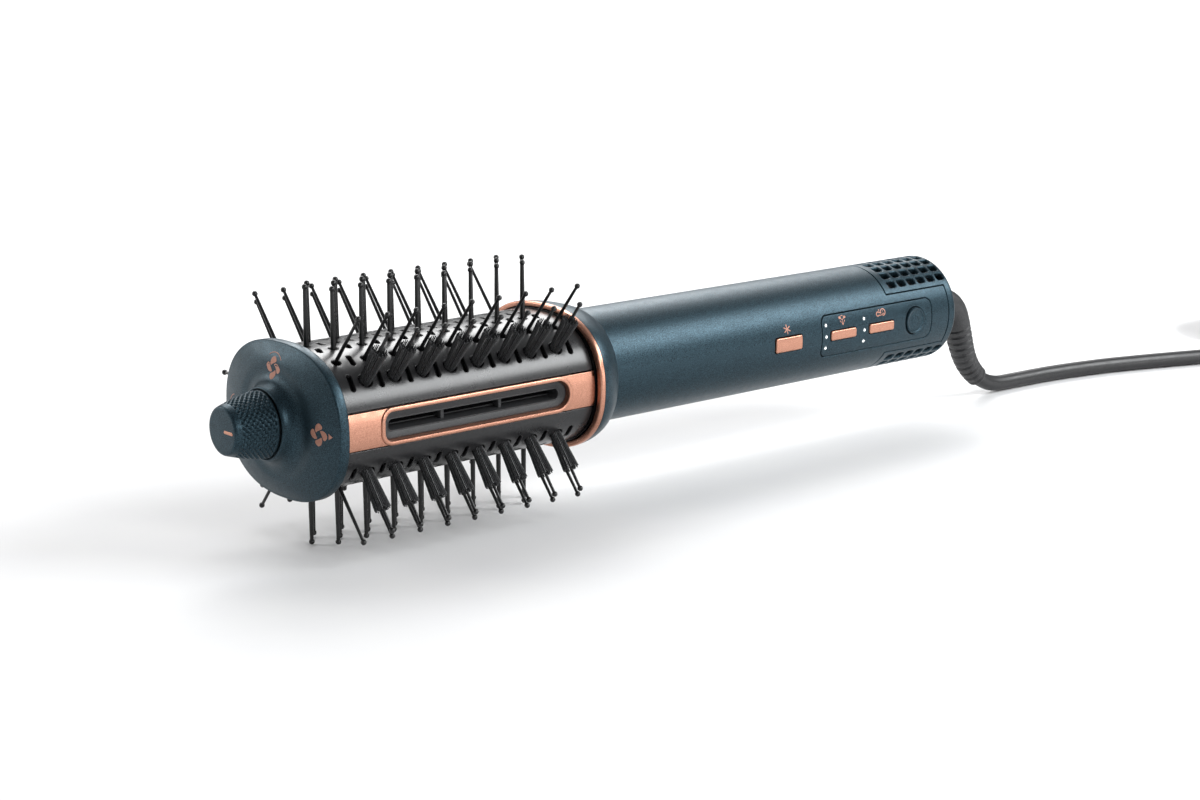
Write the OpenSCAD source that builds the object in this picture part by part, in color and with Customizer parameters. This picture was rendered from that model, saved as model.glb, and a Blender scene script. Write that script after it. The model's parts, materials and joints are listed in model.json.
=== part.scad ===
// Hot air brush: oval bristle barrel, round handle, swivel lead.
// The brush is drawn with x = 0 at the front end of the barrel and its long axis on the X axis,
// then moved so that it stands on its lower bristles with its middle over the origin.

/* [Barrel] */
// Half-width of the barrel cover, side to side
barrel_half_w = 29; // [28.8:0.1:29.2]
// Half-height of the barrel cover
barrel_half_h = 22.3; // [22.1:0.1:22.5]
// Squareness of the oval outlines
oval_power = 2.36; // [2.2:0.02:2.5]
// Wall of the barrel cover
cover_wall = 1.2; // [1:0.1:1.3]
// Distance between two stations of bristles
pin_pitch = 10.85; // [10.6:0.05:11]
// Height of the barrel axis over the tips of the bristles
axis_h = 42; // [42:0.1:42.5]

/* [Front end] */
// Half-width of the front end cap
cap_half_w = 32.1; // [31.8:0.1:32.4]
// Half-height of the front end cap
cap_half_h = 25; // [24.8:0.1:25.2]
// Radius of the selector knob at its base
knob_base_r = 10.7; // [10.2:0.1:11]
// Radius of the selector knob at its face
knob_face_r = 7.2; // [6.9:0.1:7.5]

/* [Handle] */
// Radius of the handle tube
handle_r = 20; // [19.9:0.05:20.1]
// Wall of the handle tube
handle_wall = 2; // [1.9:0.1:2]
// Travel of each button
button_travel = 0.8; // [0.5:0.1:0.8]

/* [Lead] */
// Diameter of the mains lead
cord_d = 6.4; // [6:0.1:6.4]
// Radius of the plug's pins
plug_pin_r = 2.4; // [2.3:0.05:2.4]
// Distance between the plug's pins
plug_pin_pitch = 19; // [18.5:0.1:19.5]

/* [Hidden] */
$fn = 48;

// Placement: the knob's face and the rearmost point of the strain relief are as far from x = 0.
knob_face_x = -21.5;
relief_rear_x = 337.5;
shift_x = -(knob_face_x + relief_rear_x) / 2;
// Sideways the tips of the side pins and of the tufted pins are as far from y = 0.
shift_y = -6.12;

// Barrel
barrel_x0 = 3.7;
barrel_x1 = 103.7;
carrier_gap = 0.4;
carrier_wall = 2;
cover_seam = 0.3;
first_station = 10.1;
station_count = 9;
trim_half_h = 6;
trim_proud = 0.4;
bezel_x = 55.5;
bezel_len = 77;
bezel_h = 12.2;
nozzle_len = 74.4;
nozzle_h = 9.4;
nozzle_y = 28.6;
window_w = 22.2;
window_h = 3.7;
window_pitch = 23.2;
duct_r = 17.2;
duct_wall = 1.3;
shutter_r = 15.2;
shutter_wall = 1.2;

// Bristle rows: [y of base, z of base, lean outwards in degrees, first half-station, stations, length]
centre_row = [0, 22.3, 0, 0, 9, 18.75];
inner_row = [6.9, 21.95, 0, 1, 8, 18.7];
leaning_row = [16.3, 20.2, 39.5, 0, 9, 19.2];
tufted_row = [23.9, 14.9, 37.8, 1, 8, 19.9];
side_row = [28.44, 6.1, 90, 0, 9, 19.9];
pin_root_r = 0.8;
pin_neck_r = 0.55;
pin_ball_r = 0.94;
pin_depth = 3.2;
pin_hole_r = 1.5;
tuft_root_r = 1.7;
tuft_end_r = 2.6;
tuft_len = 12.5;
tuft_hole_r = 2.4;
tuft_depth = 2.4;
slot_w = 1.8;
slot_l = 6;

// Front end
cap_depth = 3.6;
boss_r = 12.5;
boss_x = -7.1;
bush_r = 6;
selector_shaft_r = 3;
running_gap = 0.05;

// Collar and ring
ring_x0 = 104.1;
ring_x1 = 106;
ring_half_w = 32.3;
ring_half_h = 24.6;
collar_x1 = 120;
collar_end_r = 20.3;
collar_wall = 2.2;

// Heater, fan and motor
heater_x0 = 110;
heater_x1 = 140;
motor_x0 = 150;
motor_x1 = 174;
motor_r = 11.1;
motor_shaft_r = 1.5;
fan_r = 15.8;
fan_duct_r = 17.6;

// Handle details
seam = 0.15;
cover_x0 = 260.2;
cover_x1 = 293;
handle_x1 = 297;
tongue_half_angle = 34;
panel_x = [222.4, 282.9];
panel_half_h = 7.8;
panel_corner_r = 3;
board_x = [196, 284];
board_y = [-12.4, -10.8];
board_half_w = 11.2;
switch_top_y = -15;
cool_shot = [204.9, 13.6, 5.4];
temperature = [233.6, 13.6, 3.6];
speed = [254.3, 13.6, 3.6];
power = [273.5, 5];
button_gap = 0.3;
light_columns = [224.5, 245];
light_rise = 4.3;
light_r = 0.75;

// Swivel and lead; the lead's route is in the finished frame, the boot's in the brush's own
socket_r = 9.4;
spindle_r = 5;
boot_x0 = 299.5;
boot_turn = 69.7;
boot_bend_r = 11;
cord_bend_r = 28;
cord_fall = 35;
boot_end_r = 4.2;
cord_r = cord_d / 2;
floor_z = -axis_h;
exit_x = relief_rear_x - boot_end_r * sin(cord_fall);
exit_z = floor_z + cord_r + cord_bend_r * (1 - cos(cord_fall));
hank_y = -8;
hank_x = [384, 427];
hank_turn_r = 32.8;
hank_inner_r = 16.4;
hank_z = [1, 14.2];
cord_route = [[177.5, 0, 8], [181.3, 0, 5.8], [186, 0, 4.2], [191, 0, 3.4], [198, 0, 3.2],
    [208, -0.5, 3.2], [222, -1.5, 3.2], [238, -4, 3.2], [254, -7.5, 3.2], [270, -12.5, 3.2],
    [286, -18, 3.2], [302, -24, 3.2], [318, -29.5, 3.2], [334, -34.5, 3.4], [350, -38.2, 3.8],
    [366, -40.3, 4.2], [384, -40.8, 4.2]];
tail_route = [[427, -40.8, 10.8], [436, -40.8, 10.5], [446, -40.8, 9.2], [456, -40.8, 8]];
plug_x = 475;
plug_y = -40.8;
plug_z = 8;
plug_len = 36;
plug_pin_len = 19;

// ---------- shared shapes ----------

// Moves the brush from its own frame to the finished frame.
module stand() { translate([shift_x, shift_y, axis_h]) children(); }

// The lead, its hank and the plug lie on the surface.
module lying() { translate([0, shift_y, 0]) children(); }

// Extrudes a YZ outline along X.
module along_x(x0, x1) {
    translate([x0, 0, 0]) rotate([90, 0, 90]) linear_extrude(x1 - x0) children();
}

// Extrudes an XZ outline along Y.
module along_y(y0, y1) {
    translate([0, y1, 0]) rotate([90, 0, 0]) linear_extrude(y1 - y0) children();
}

// A solid of revolution about the X axis.
module rod(x0, x1, r) {
    translate([x0, 0, 0]) rotate([0, 90, 0]) cylinder(h = x1 - x0, r = r);
}

module sleeve(x0, x1, r, r_in) {
    difference() {
        rod(x0, x1, r);
        rod(x0 - 1, x1 + 1, r_in);
    }
}

function signed_power(v, p) = sign(v) * pow(abs(v), p);

function oval_points(a, b, power, count) =
    [for (i = [0 : count - 1]) let (t = 360 * i / count)
        [a * signed_power(cos(t), 2 / power), b * signed_power(sin(t), 2 / power)]];

module oval(a, b) { polygon(oval_points(a, b, oval_power, 48)); }

module oval_ring(a, b, wall) {
    difference() {
        oval(a, b);
        oval(a - wall, b - wall);
    }
}

module round_rect(w, h, r) {
    square([w - 2 * r, h], center = true);
    square([w, h - 2 * r], center = true);
    for (x = [-1, 1], y = [-1, 1]) translate([x * (w / 2 - r), y * (h / 2 - r)]) circle(r);
}

// A sector of a ring about the X axis, centred on the -Y side (the control side).
module control_wedge(half_angle) {
    polygon([[0, 0], [-40, 40 * tan(half_angle)], [-40, -40 * tan(half_angle)]]);
}

// A closed tube with a radius at each point of its route; right is the +Y-like side vector.
function unit(v) = v / norm(v);
function route_dir(p, i) = unit(p[min(i + 1, len(p) - 1)] - p[max(i - 1, 0)]);
function tube_ring(c, dir, r, sides) =
    let (s = unit(cross([0, 0, 1], dir)), u = cross(dir, s))
    [for (k = [0 : sides - 1]) let (t = 360 * k / sides) c + r * (cos(t) * u + sin(t) * s)];

module swept_tube(p, r, dirs, sides) {
    n = len(p);
    rings = [for (i = [0 : n - 1]) each tube_ring(p[i], dirs[i], r[i], sides)];
    sides_faces = [for (i = [0 : n - 2], k = [0 : sides - 1])
        [i * sides + k, i * sides + (k + 1) % sides,
         (i + 1) * sides + (k + 1) % sides, (i + 1) * sides + k]];
    first = [for (k = [sides - 1 : -1 : 0]) k];
    last = [for (k = [0 : sides - 1]) (n - 1) * sides + k];
    polyhedron(rings, concat(sides_faces, [first, last]), convexity = 6);
}

module cord_tube(route) {
    swept_tube(route, [for (p = route) cord_r],
        [for (i = [0 : len(route) - 1]) route_dir(route, i)], 12);
}

// ---------- barrel ----------

function station_x(half_steps) = first_station + half_steps * pin_pitch / 2;

// Puts a child at every place of a row, on both sides, pointing out along the bristle.
module on_row(row, lean, only = [-1, 1]) {
    sides = row[0] == 0 ? [1] : only;
    for (i = [0 : row[4] - 1], s = sides)
        translate([station_x(row[3] + 2 * i), s * row[0], row[1]])
            rotate([-s * lean, 0, 0]) children();
}

module bristle_pin(length) {
    translate([0, 0, -pin_depth])
        cylinder(h = length + pin_depth, r1 = pin_root_r, r2 = pin_neck_r, $fn = 16);
    translate([0, 0, length]) sphere(pin_ball_r, $fn = 16);
}

module pins(rows) { for (row = rows) on_row(row, row[2]) bristle_pin(row[5]); }

// Tufts stand round the pins on the nozzle side only.
module tufts() {
    on_row(tufted_row, tufted_row[2], [-1]) difference() {
        translate([0, 0, -tuft_depth])
            cylinder(h = tuft_len + tuft_depth, r1 = tuft_root_r, r2 = tuft_end_r, $fn = 24);
        translate([0, 0, -pin_depth])
            cylinder(h = tufted_row[5] + pin_depth, r1 = pin_root_r + 0.1, r2 = pin_neck_r + 0.1, $fn = 16);
    }
}

module cover_half() {
    difference() {
        along_x(barrel_x0, barrel_x1) difference() {
            oval_ring(barrel_half_w, barrel_half_h, cover_wall);
            translate([-50, -100 + trim_half_h + 0.2]) square([50, 100]);
            translate([-1, -100 + cover_seam / 2]) square([51, 100]);
        }
        for (row = [centre_row, inner_row, leaning_row])
            on_row(row, row[2]) cylinder(h = 8, r = pin_hole_r, center = true, $fn = 16);
        on_row(tufted_row, tufted_row[2], [1]) cylinder(h = 8, r = pin_hole_r, center = true, $fn = 16);
        on_row(tufted_row, tufted_row[2], [-1]) cylinder(h = 9, r = tuft_hole_r, center = true, $fn = 24);
        on_row(side_row, 90, [1]) cylinder(h = 8, r = pin_hole_r, center = true, $fn = 16);
        on_row([side_row[0], side_row[1], 0, 1, 8, 0], 90, [1]) cube([slot_w, slot_l, 5], center = true);
        for (row_and_lean = [[leaning_row, 22], [tufted_row, 45]]) {
            row = row_and_lean[0];
            other = [row[0], row[1], 0, 1 - row[3], 17 - row[4], 0];
            on_row(other, row_and_lean[1]) cube([slot_w, slot_l, 5], center = true);
        }
        for (row = [centre_row, inner_row]) {
            other = [row[0], row[1], 0, 1 - row[3], 17 - row[4], 0];
            on_row(other, 0) cube([slot_w, slot_l - 1, 5], center = true);
        }
    }
}

module barrel_cover_top() { color("dimgray") stand() cover_half(); }
module barrel_cover_bottom() { color("dimgray") stand() mirror([0, 0, 1]) cover_half(); }

module carrier_half() {
    inset = cover_wall + carrier_gap;
    along_x(barrel_x0 + 1, barrel_x1 - 1) difference() {
        oval_ring(barrel_half_w - inset, barrel_half_h - inset, carrier_wall);
        translate([-50, -100 + trim_half_h + 1.5]) square([50, 100]);
        translate([-1, -100 + 0.4]) square([51, 100]);
    }
}

module bristle_carriers() {
    color("black") stand() {
        carrier_half();
        mirror([0, 0, 1]) carrier_half();
    }
}
module upright_pins_top() { color("black") stand() pins([centre_row, inner_row]); }
module upright_pins_bottom() { color("black") stand() mirror([0, 0, 1]) pins([centre_row, inner_row]); }
module leaning_pins_top() { color("black") stand() pins([leaning_row]); }
module leaning_pins_bottom() { color("black") stand() mirror([0, 0, 1]) pins([leaning_row]); }
module tufted_pins_top() { color("black") stand() pins([tufted_row]); }
module tufted_pins_bottom() { color("black") stand() mirror([0, 0, 1]) pins([tufted_row]); }
module side_pins() {
    color("black") stand() for (below = [0, 1]) mirror([0, 0, below])
        on_row(side_row, side_row[2], [1]) bristle_pin(side_row[5]);
}
module bristle_tufts_top() { color("darkslategray") stand() tufts(); }
module bristle_tufts_bottom() { color("darkslategray") stand() mirror([0, 0, 1]) tufts(); }

// Copper strip on the -Y side with the raised bezel round the nozzle.
module side_trim() {
    inner = cover_wall + 0.3;
    color("lightsalmon") stand() difference() {
        union() {
            along_x(barrel_x0, barrel_x1 + 0.2) intersection() {
                difference() {
                    oval(barrel_half_w + trim_proud, barrel_half_h + trim_proud);
                    oval(barrel_half_w - inner, barrel_half_h - inner);
                }
                translate([-50, -trim_half_h]) square([50, 2 * trim_half_h]);
            }
            translate([bezel_x, 0, 0]) along_y(-29.95, -28.2) round_rect(bezel_len, bezel_h, 5.9);
        }
        translate([bezel_x, 0, 0]) along_y(-40, -20) round_rect(nozzle_len, nozzle_h, 4.5);
    }
}

module nozzle_frame() {
    color("black") stand() translate([bezel_x, 0, 0]) difference() {
        along_y(-nozzle_y, -duct_r - 0.1) round_rect(nozzle_len - 0.4, nozzle_h - 0.4, 4.2);
        for (k = [-1 : 1]) translate([k * window_pitch, 0, 0])
            along_y(-40, -10) round_rect(window_w, window_h, 1.2);
    }
}

module core_duct() {
    vents = 5;
    color("gray") stand() difference() {
        sleeve(barrel_x0 + 0.5, 104, duct_r, duct_r - duct_wall);
        translate([bezel_x - 36, -30, -2.4]) cube([72, 30, 4.8]);
        for (k = [0 : vents - 1]) translate([10 + 18.5 * k, 0, -5]) cube([13, 30, 10]);
        for (k = [0 : vents - 1]) translate([10 + 18.5 * k, -7, -30]) cube([13, 14, 60]);
    }
}

module barrel_bulkhead() {
    color("black") stand() along_x(104, ring_x1) difference() {
        oval(barrel_half_w + 0.5, barrel_half_h + 0.4);
        circle(duct_r - duct_wall);
    }
}

// ---------- front end ----------

module front_end_cap() {
    color("darkslategray") stand() difference() {
        union() {
            along_x(0, cap_depth) oval(cap_half_w, cap_half_h);
            translate([-2.6, 0, 0]) rotate([0, 90, 0]) cylinder(h = 2.7, r1 = 14, r2 = 23);
            rod(boss_x, 0, boss_r);
        }
        along_x(1.8, cap_depth + 1) oval(cap_half_w - 7, cap_half_h - 7);
        rod(boss_x + 3, 2, boss_r - 2.5);
        rod(boss_x - 1, cap_depth + 1, bush_r);
    }
}

module selector_bush() {
    color("ivory") stand() difference() {
        union() {
            rod(boss_x, cap_depth + 1.4, bush_r);
            rod(1.8, cap_depth + 1.4, bush_r + 2);
        }
        rod(boss_x - 1, cap_depth + 3, selector_shaft_r + running_gap);
    }
}

module selector_knob() {
    color("darkslategray") stand() difference() {
        translate([knob_face_x, 0, 0]) rotate([0, 90, 0])
            cylinder(h = boss_x - 0.3 - knob_face_x, r1 = knob_face_r, r2 = knob_base_r);
        rod(-17, 0, selector_shaft_r);
        translate([knob_face_x - 1, -6.4, -0.5]) cube([1.8, 5.4, 1]);
    }
}

module knob_marker() {
    color("lightsalmon") stand() translate([knob_face_x, -6.4, -0.5]) cube([0.8, 5.4, 1]);
}

module selector_shaft() { color("silver") stand() rod(-17, 13.5, selector_shaft_r); }

module shaft_clip() { color("silver") stand() sleeve(5.3, 6.1, selector_shaft_r + 1.7, selector_shaft_r); }

// Drum that closes one half of the core duct; turning it moves the air to the other side.
module air_shutter() {
    ports = 4;
    color("gainsboro") stand() difference() {
        union() {
            sleeve(8, 100, shutter_r, shutter_r - shutter_wall);
            rod(8, 9.6, shutter_r - 0.5);
            rod(8, 13, selector_shaft_r + 2);
        }
        rod(7, 14, selector_shaft_r);
        translate([9.6, -20, -20]) cube([88.4, 20, 40]);
        for (k = [0 : ports - 1]) rotate([90 * k + 45, 0, 0])
            translate([7, 0, 9]) rotate([0, 90, 0]) cylinder(h = 4, r = 3);
    }
}

// ---------- collar, ring and handle ----------

module accent_ring() {
    color("lightsalmon") stand() along_x(ring_x0, ring_x1) difference() {
        oval(ring_half_w, ring_half_h);
        oval(barrel_half_w + 0.9, barrel_half_h + 0.8);
    }
}

// Share of the flare left at a place from 0 (ring) to 1 (handle).
function flare(t) = pow(max(0, 1 - pow(t, 1.6)), 1 / 1.6);

function collar_ring(t, inset) =
    let (x = ring_x1 + t * (collar_x1 - ring_x1), f = flare(t),
        a = collar_end_r + (ring_half_w - 0.1 - collar_end_r) * f - inset,
        b = collar_end_r + (ring_half_h - 0.1 - collar_end_r) * f - inset,
        outline = oval_points(a, b, 2 + (oval_power - 2) * f, 48))
    [for (p = outline) [x, p[0], p[1]]];

// Four layers of rings make the closed shell: outside forwards, inside backwards.
module handle_collar() {
    steps = 10;
    sides = 48;
    t = [for (i = [0 : steps]) 1 - pow(1 - i / steps, 1.5)];
    outer = [for (v = t) each collar_ring(v, 0)];
    inner = [for (i = [steps : -1 : 0]) each collar_ring(t[i], collar_wall)];
    rings = 2 * (steps + 1);
    faces = [for (i = [0 : rings - 1], k = [0 : sides - 1])
        let (j = (i + 1) % rings, m = (k + 1) % sides)
        [i * sides + k, i * sides + m, j * sides + m, j * sides + k]];
    color("darkslategray") stand() polyhedron(concat(outer, inner), faces, convexity = 4);
}

module handle_wall_outline(r) {
    difference() {
        circle(r);
        circle(handle_r - handle_wall);
    }
}

// Opening in the -Y wall, round rectangle in X and Z.
module wall_opening(x, w, h, r) {
    translate([x, 0, 0]) along_y(-30, -10) round_rect(w, h, r);
}

module handle_tube() {
    panel_mid = (panel_x[0] + panel_x[1]) / 2;
    color("darkslategray") stand() difference() {
        union() {
            sleeve(collar_x1, cover_x0 - seam, handle_r, handle_r - handle_wall);
            along_x(cover_x0 - seam, cover_x1 - seam) intersection() {
                handle_wall_outline(handle_r);
                control_wedge(tongue_half_angle - 0.4);
            }
        }
        wall_opening(panel_mid, panel_x[1] - panel_x[0] + 2 * seam, 2 * panel_half_h + 2 * seam, panel_corner_r);
        wall_opening(cool_shot[0], cool_shot[1] + 2 * button_gap, cool_shot[2] + 2 * button_gap, 1.6);
    }
}

module control_panel() {
    panel_mid = (panel_x[0] + panel_x[1]) / 2;
    color("darkslategray") stand() difference() {
        intersection() {
            sleeve(panel_x[0], panel_x[1], handle_r, handle_r - handle_wall);
            wall_opening(panel_mid, panel_x[1] - panel_x[0], 2 * panel_half_h, panel_corner_r);
        }
        for (b = [temperature, speed])
            wall_opening(b[0], b[1] + 2 * button_gap, b[2] + 2 * button_gap, 1);
        translate([power[0], 0, 0]) along_y(-30, -10) circle(power[1] + 0.5);
        for (x = light_columns, z = [-1, 0, 1]) translate([x, 0, z * light_rise])
            along_y(-30, -10) circle(light_r + 0.1, $fn = 16);
    }
}

// Light guides from the lamps on the board to the panel's face.
module status_lights() {
    color("white") stand() intersection() {
        for (x = light_columns, z = [-1, 0, 1]) translate([x, 0, z * light_rise])
            along_y(-21, board_y[0]) circle(light_r, $fn = 16);
        rod(200, 270, handle_r);
    }
}

// A push button: crowned head in the wall, flange under the wall, stem over its switch.
module bar_button(b) {
    stand() {
        intersection() {
            wall_opening(b[0], b[1], b[2], 1.3);
            sleeve(190, 290, handle_r + 0.45, 17.4);
        }
        translate([b[0], 0, 0]) along_y(-17.5, -16.6) round_rect(b[1] + 1.8, b[2] + 1.6, 1);
        translate([b[0], 0, 0]) along_y(-16.6, switch_top_y - button_travel - 0.1) circle(1.4);
    }
}

module cool_shot_button() { color("lightsalmon") bar_button(cool_shot); }
module temperature_button() { color("lightsalmon") bar_button(temperature); }
module speed_button() { color("lightsalmon") bar_button(speed); }

module power_button() {
    color("darkslategray") stand() translate([power[0], 0, 0]) {
        along_y(-20.3, -16.7) circle(power[1]);
        along_y(-16.7, -16) circle(power[1] + 1);
        along_y(-16, switch_top_y - button_travel - 0.1) circle(1.4);
    }
}

module circuit_board() {
    color("green") stand() difference() {
        translate([board_x[0], board_y[0], -board_half_w])
            cube([board_x[1] - board_x[0], board_y[1] - board_y[0], 2 * board_half_w]);
        on_board_corners() along_y(-20, 0) circle(1.15, $fn = 24);
    }
}

module on_board_corners() {
    for (x = [board_x[0] + 5, board_x[1] - 5], z = [-9.2, 9.2]) translate([x, 0, z]) children();
}

module board_carrier() {
    color("ivory") stand() difference() {
        translate([board_x[0] - 2, board_y[1], -12.4]) cube([92, 2, 24.8]);
        translate([board_x[0] + 8, -20, -7]) cube([72, 30, 14]);
        on_board_corners() along_y(-20, 0) circle(1, $fn = 24);
    }
}

module board_screws() {
    color("silver") stand() on_board_corners() {
        along_y(board_y[0] - 1.4, board_y[0]) circle(1.9, $fn = 24);
        along_y(board_y[0] - 0.2, board_y[1] + 1.8) circle(1, $fn = 24);
    }
}

module tact_switches() {
    color("dimgray") stand() for (x = [cool_shot[0], temperature[0], speed[0], power[0]])
        translate([x - 3, switch_top_y, -3]) cube([6, board_y[0] - switch_top_y, 6]);
}

// Rows of square holes round a side of the cover.
module grille_holes(middle_angle) {
    rows = 8;
    columns = 6;
    for (r = [0 : rows - 1], c = [0 : columns - 1])
        rotate([middle_angle + 12.86 * (r - (rows - 1) / 2), 0, 0])
            translate([265.6 + 5.5 * c, 0, handle_r]) cube([3.8, 2.9, 9], center = true);
}

module rear_grille_cover() {
    color("darkslategray") stand() difference() {
        rod(cover_x0, handle_x1, handle_r);
        rod(cover_x0 - 1, handle_x1 - 2, handle_r - handle_wall);
        along_x(cover_x0 - 1, cover_x1) control_wedge(tongue_half_angle);
        rod(handle_x1 - 5, handle_x1 + 1, socket_r + 0.1);
        grille_holes(0);
        grille_holes(180);
    }
}

module inlet_filter() {
    color("dimgray") stand() along_x(262, 292) difference() {
        circle(17.6);
        circle(17.1);
        control_wedge(40.5);
    }
}

// ---------- heater, fan and motor ----------

module heater_sleeve() { color("tan") stand() sleeve(ring_x1, 142, 16.6, 16); }

module heater_frame() {
    color("tan") stand() for (a = [0, 90]) rotate([a, 0, 0])
        translate([heater_x0, -13.5, -0.4]) cube([heater_x1 - heater_x0, 27, 0.8]);
}

module heater_coils() {
    turns = 8;
    color("silver") stand() for (k = [0 : turns - 1])
        translate([heater_x0 + 2.5 + 3.6 * k, 0, 0]) rotate([0, 90, 0])
            rotate_extrude() translate([14.2, 0]) circle(0.5, $fn = 16);
}

module thermostat() { color("silver") stand() translate([128, 2, 2]) cube([9, 6, 4]); }

module thermal_fuse() { color("silver") stand() translate([0, -5, 5]) rod(124, 136, 1.6); }

module fan_duct() {
    vanes = 7;
    color("dimgray") stand() {
        sleeve(143, 191, fan_duct_r, fan_duct_r - 1.2);
        sleeve(152, 172, motor_r + 1.1, motor_r + 0.1);
        for (k = [0 : vanes - 1]) rotate([360 * k / vanes, 0, 0])
            translate([152, -0.5, motor_r + 0.6]) cube([20, 1, fan_duct_r - motor_r - 1.2]);
    }
}

module motor_housing() {
    color("silver") stand() difference() {
        rod(motor_x0, motor_x1, motor_r);
        rod(motor_x0 + 1.5, motor_x1 - 1.5, motor_r - 1);
        rod(motor_x0 - 1, motor_x1 + 1, 4);
    }
}

module motor_magnets() { color("dimgray") stand() sleeve(153, 171, motor_r - 1.1, 8.9); }

module motor_bearings() {
    color("silver") stand() for (x = [motor_x0 - 0.4, motor_x1 - 2.6])
        sleeve(x, x + 3, 3.95, motor_shaft_r + running_gap);
}

module motor_shaft() { color("silver") stand() rod(147, 189, motor_shaft_r); }

module rotor_core() {
    slots = 5;
    color("chocolate") stand() difference() {
        rod(155, 169, 8.3);
        rod(150, 174, motor_shaft_r);
        for (k = [0 : slots - 1]) rotate([360 * k / slots, 0, 0])
            translate([154, -1, 5]) cube([16, 2, 6]);
    }
}

module impeller() {
    blades = 9;
    color("black") stand() difference() {
        union() {
            rod(177.5, 187, 6);
            intersection() {
                sleeve(177.5, 187, fan_r, 5);
                for (k = [0 : blades - 1]) rotate([360 * k / blades, 0, 0])
                    translate([182.2, 0, 10]) rotate([0, 0, 38]) cube([11, 1.2, 14], center = true);
            }
        }
        rod(170, 190, motor_shaft_r);
    }
}

// ---------- swivel and lead ----------

module internal_leads() {
    lead_z = 1.7;
    color("dimgray") stand() {
        rod(264, 286, 3.1);
        for (s = [-1, 1]) translate([0, 0, s * lead_z]) {
            rod(215, 264.5, 0.9);
            translate([215, 0, 0]) rotate([90, 0, 0]) cylinder(h = -board_y[1], r = 0.9);
        }
    }
}

module swivel_socket() {
    color("black") stand() sleeve(290, 297.8, socket_r, spindle_r + running_gap);
}

module swivel_spindle() {
    color("dimgray") stand() difference() {
        union() {
            rod(286.5, boot_x0, spindle_r);
            rod(286.5, 289.7, 8.2);
            rod(298.1, boot_x0, 6.8);
        }
        rod(280, 310, 3.5);
    }
}

// Centreline of the boot: straight out, a tight elbow down, straight, then the lead's own bend.
function boot_point(s) =
    let (lower_x = exit_x - cord_bend_r * (sin(boot_turn) - sin(cord_fall)),
        lower_z = exit_z + cord_bend_r * (cos(cord_fall) - cos(boot_turn)),
        elbow_z = -boot_bend_r * (1 - cos(boot_turn)),
        elbow_x = lower_x - (elbow_z - lower_z) / tan(boot_turn),
        arc_x = elbow_x - boot_bend_r * sin(boot_turn))
    s <= 1 ? [[boot_x0 + s * (arc_x - boot_x0), 0], 0]
    : s <= 2 ? let (a = (s - 1) * boot_turn)
        [[arc_x + boot_bend_r * sin(a), -boot_bend_r * (1 - cos(a))], a]
    : s <= 3 ? [[elbow_x + (s - 2) * (lower_x - elbow_x), elbow_z + (s - 2) * (lower_z - elbow_z)],
        boot_turn]
    : let (a = boot_turn + (s - 3) * (cord_fall - boot_turn))
        [[exit_x - cord_bend_r * (sin(a) - sin(cord_fall)),
          exit_z + cord_bend_r * (cos(cord_fall) - cos(a))], a];

module strain_relief() {
    s = [0, 0.5, 1, for (k = [1 : 6]) 1 + k / 6, 2.5, for (k = [0 : 6]) 3 + k / 6];
    spots = [for (v = s) boot_point(v)];
    color("dimgray") stand() swept_tube(
        [for (b = spots) [b[0][0], 0, b[0][1]]],
        [for (v = s) v < 1 ? 6.2 - 0.6 * v : v < 3 ? 5.6 : 5.6 - (5.6 - boot_end_r) * (v - 3)],
        [for (b = spots) [cos(b[1]), 0, -sin(b[1])]], 24);
}

module power_cord() {
    color("dimgray") lying() cord_tube(cord_route);
    color("dimgray") lying() cord_tube(tail_route);
}

module hank_outline(r) {
    for (x = hank_x) translate([x, hank_y]) circle(r);
    translate([hank_x[0], hank_y - r]) square([hank_x[1] - hank_x[0], 2 * r]);
}

module cord_hank() {
    color("dimgray") lying() translate([0, 0, hank_z[0]]) linear_extrude(hank_z[1] - hank_z[0])
        difference() {
            hank_outline(hank_turn_r + cord_r);
            hank_outline(hank_inner_r);
        }
}

module hank_tie() {
    band = 1;
    half = hank_turn_r + cord_r + 0.1;
    color("black") lying() difference() {
        translate([401.5, hank_y - half - band, 0]) cube([8, 2 * (half + band), hank_z[1] + 0.1 + band]);
        translate([400, hank_y - half, hank_z[0]]) cube([12, 2 * half, hank_z[1] + 0.1 - hank_z[0]]);
    }
}

// Moulded two-pin plug, lying flat, with a short boot where the lead enters.
module plug_body() {
    outline = [[0, 7], [7, 17.6], [30, 17.6], [plug_len, 14.5]];
    color("dimgray") lying() translate([plug_x, plug_y, 0]) {
        linear_extrude(2 * plug_z)
            polygon(concat(outline, [for (i = [3 : -1 : 0]) [outline[i][0], -outline[i][1]]]));
        translate([-20, 0, plug_z]) rotate([0, 90, 0]) cylinder(h = 21, r1 = 4.4, r2 = 6.6);
    }
}

module plug_pins() {
    color("silver") lying() for (s = [-1, 1])
        translate([plug_x + plug_len, plug_y + s * plug_pin_pitch / 2, plug_z])
            rotate([0, 90, 0]) cylinder(h = plug_pin_len, r = plug_pin_r);
}

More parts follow.
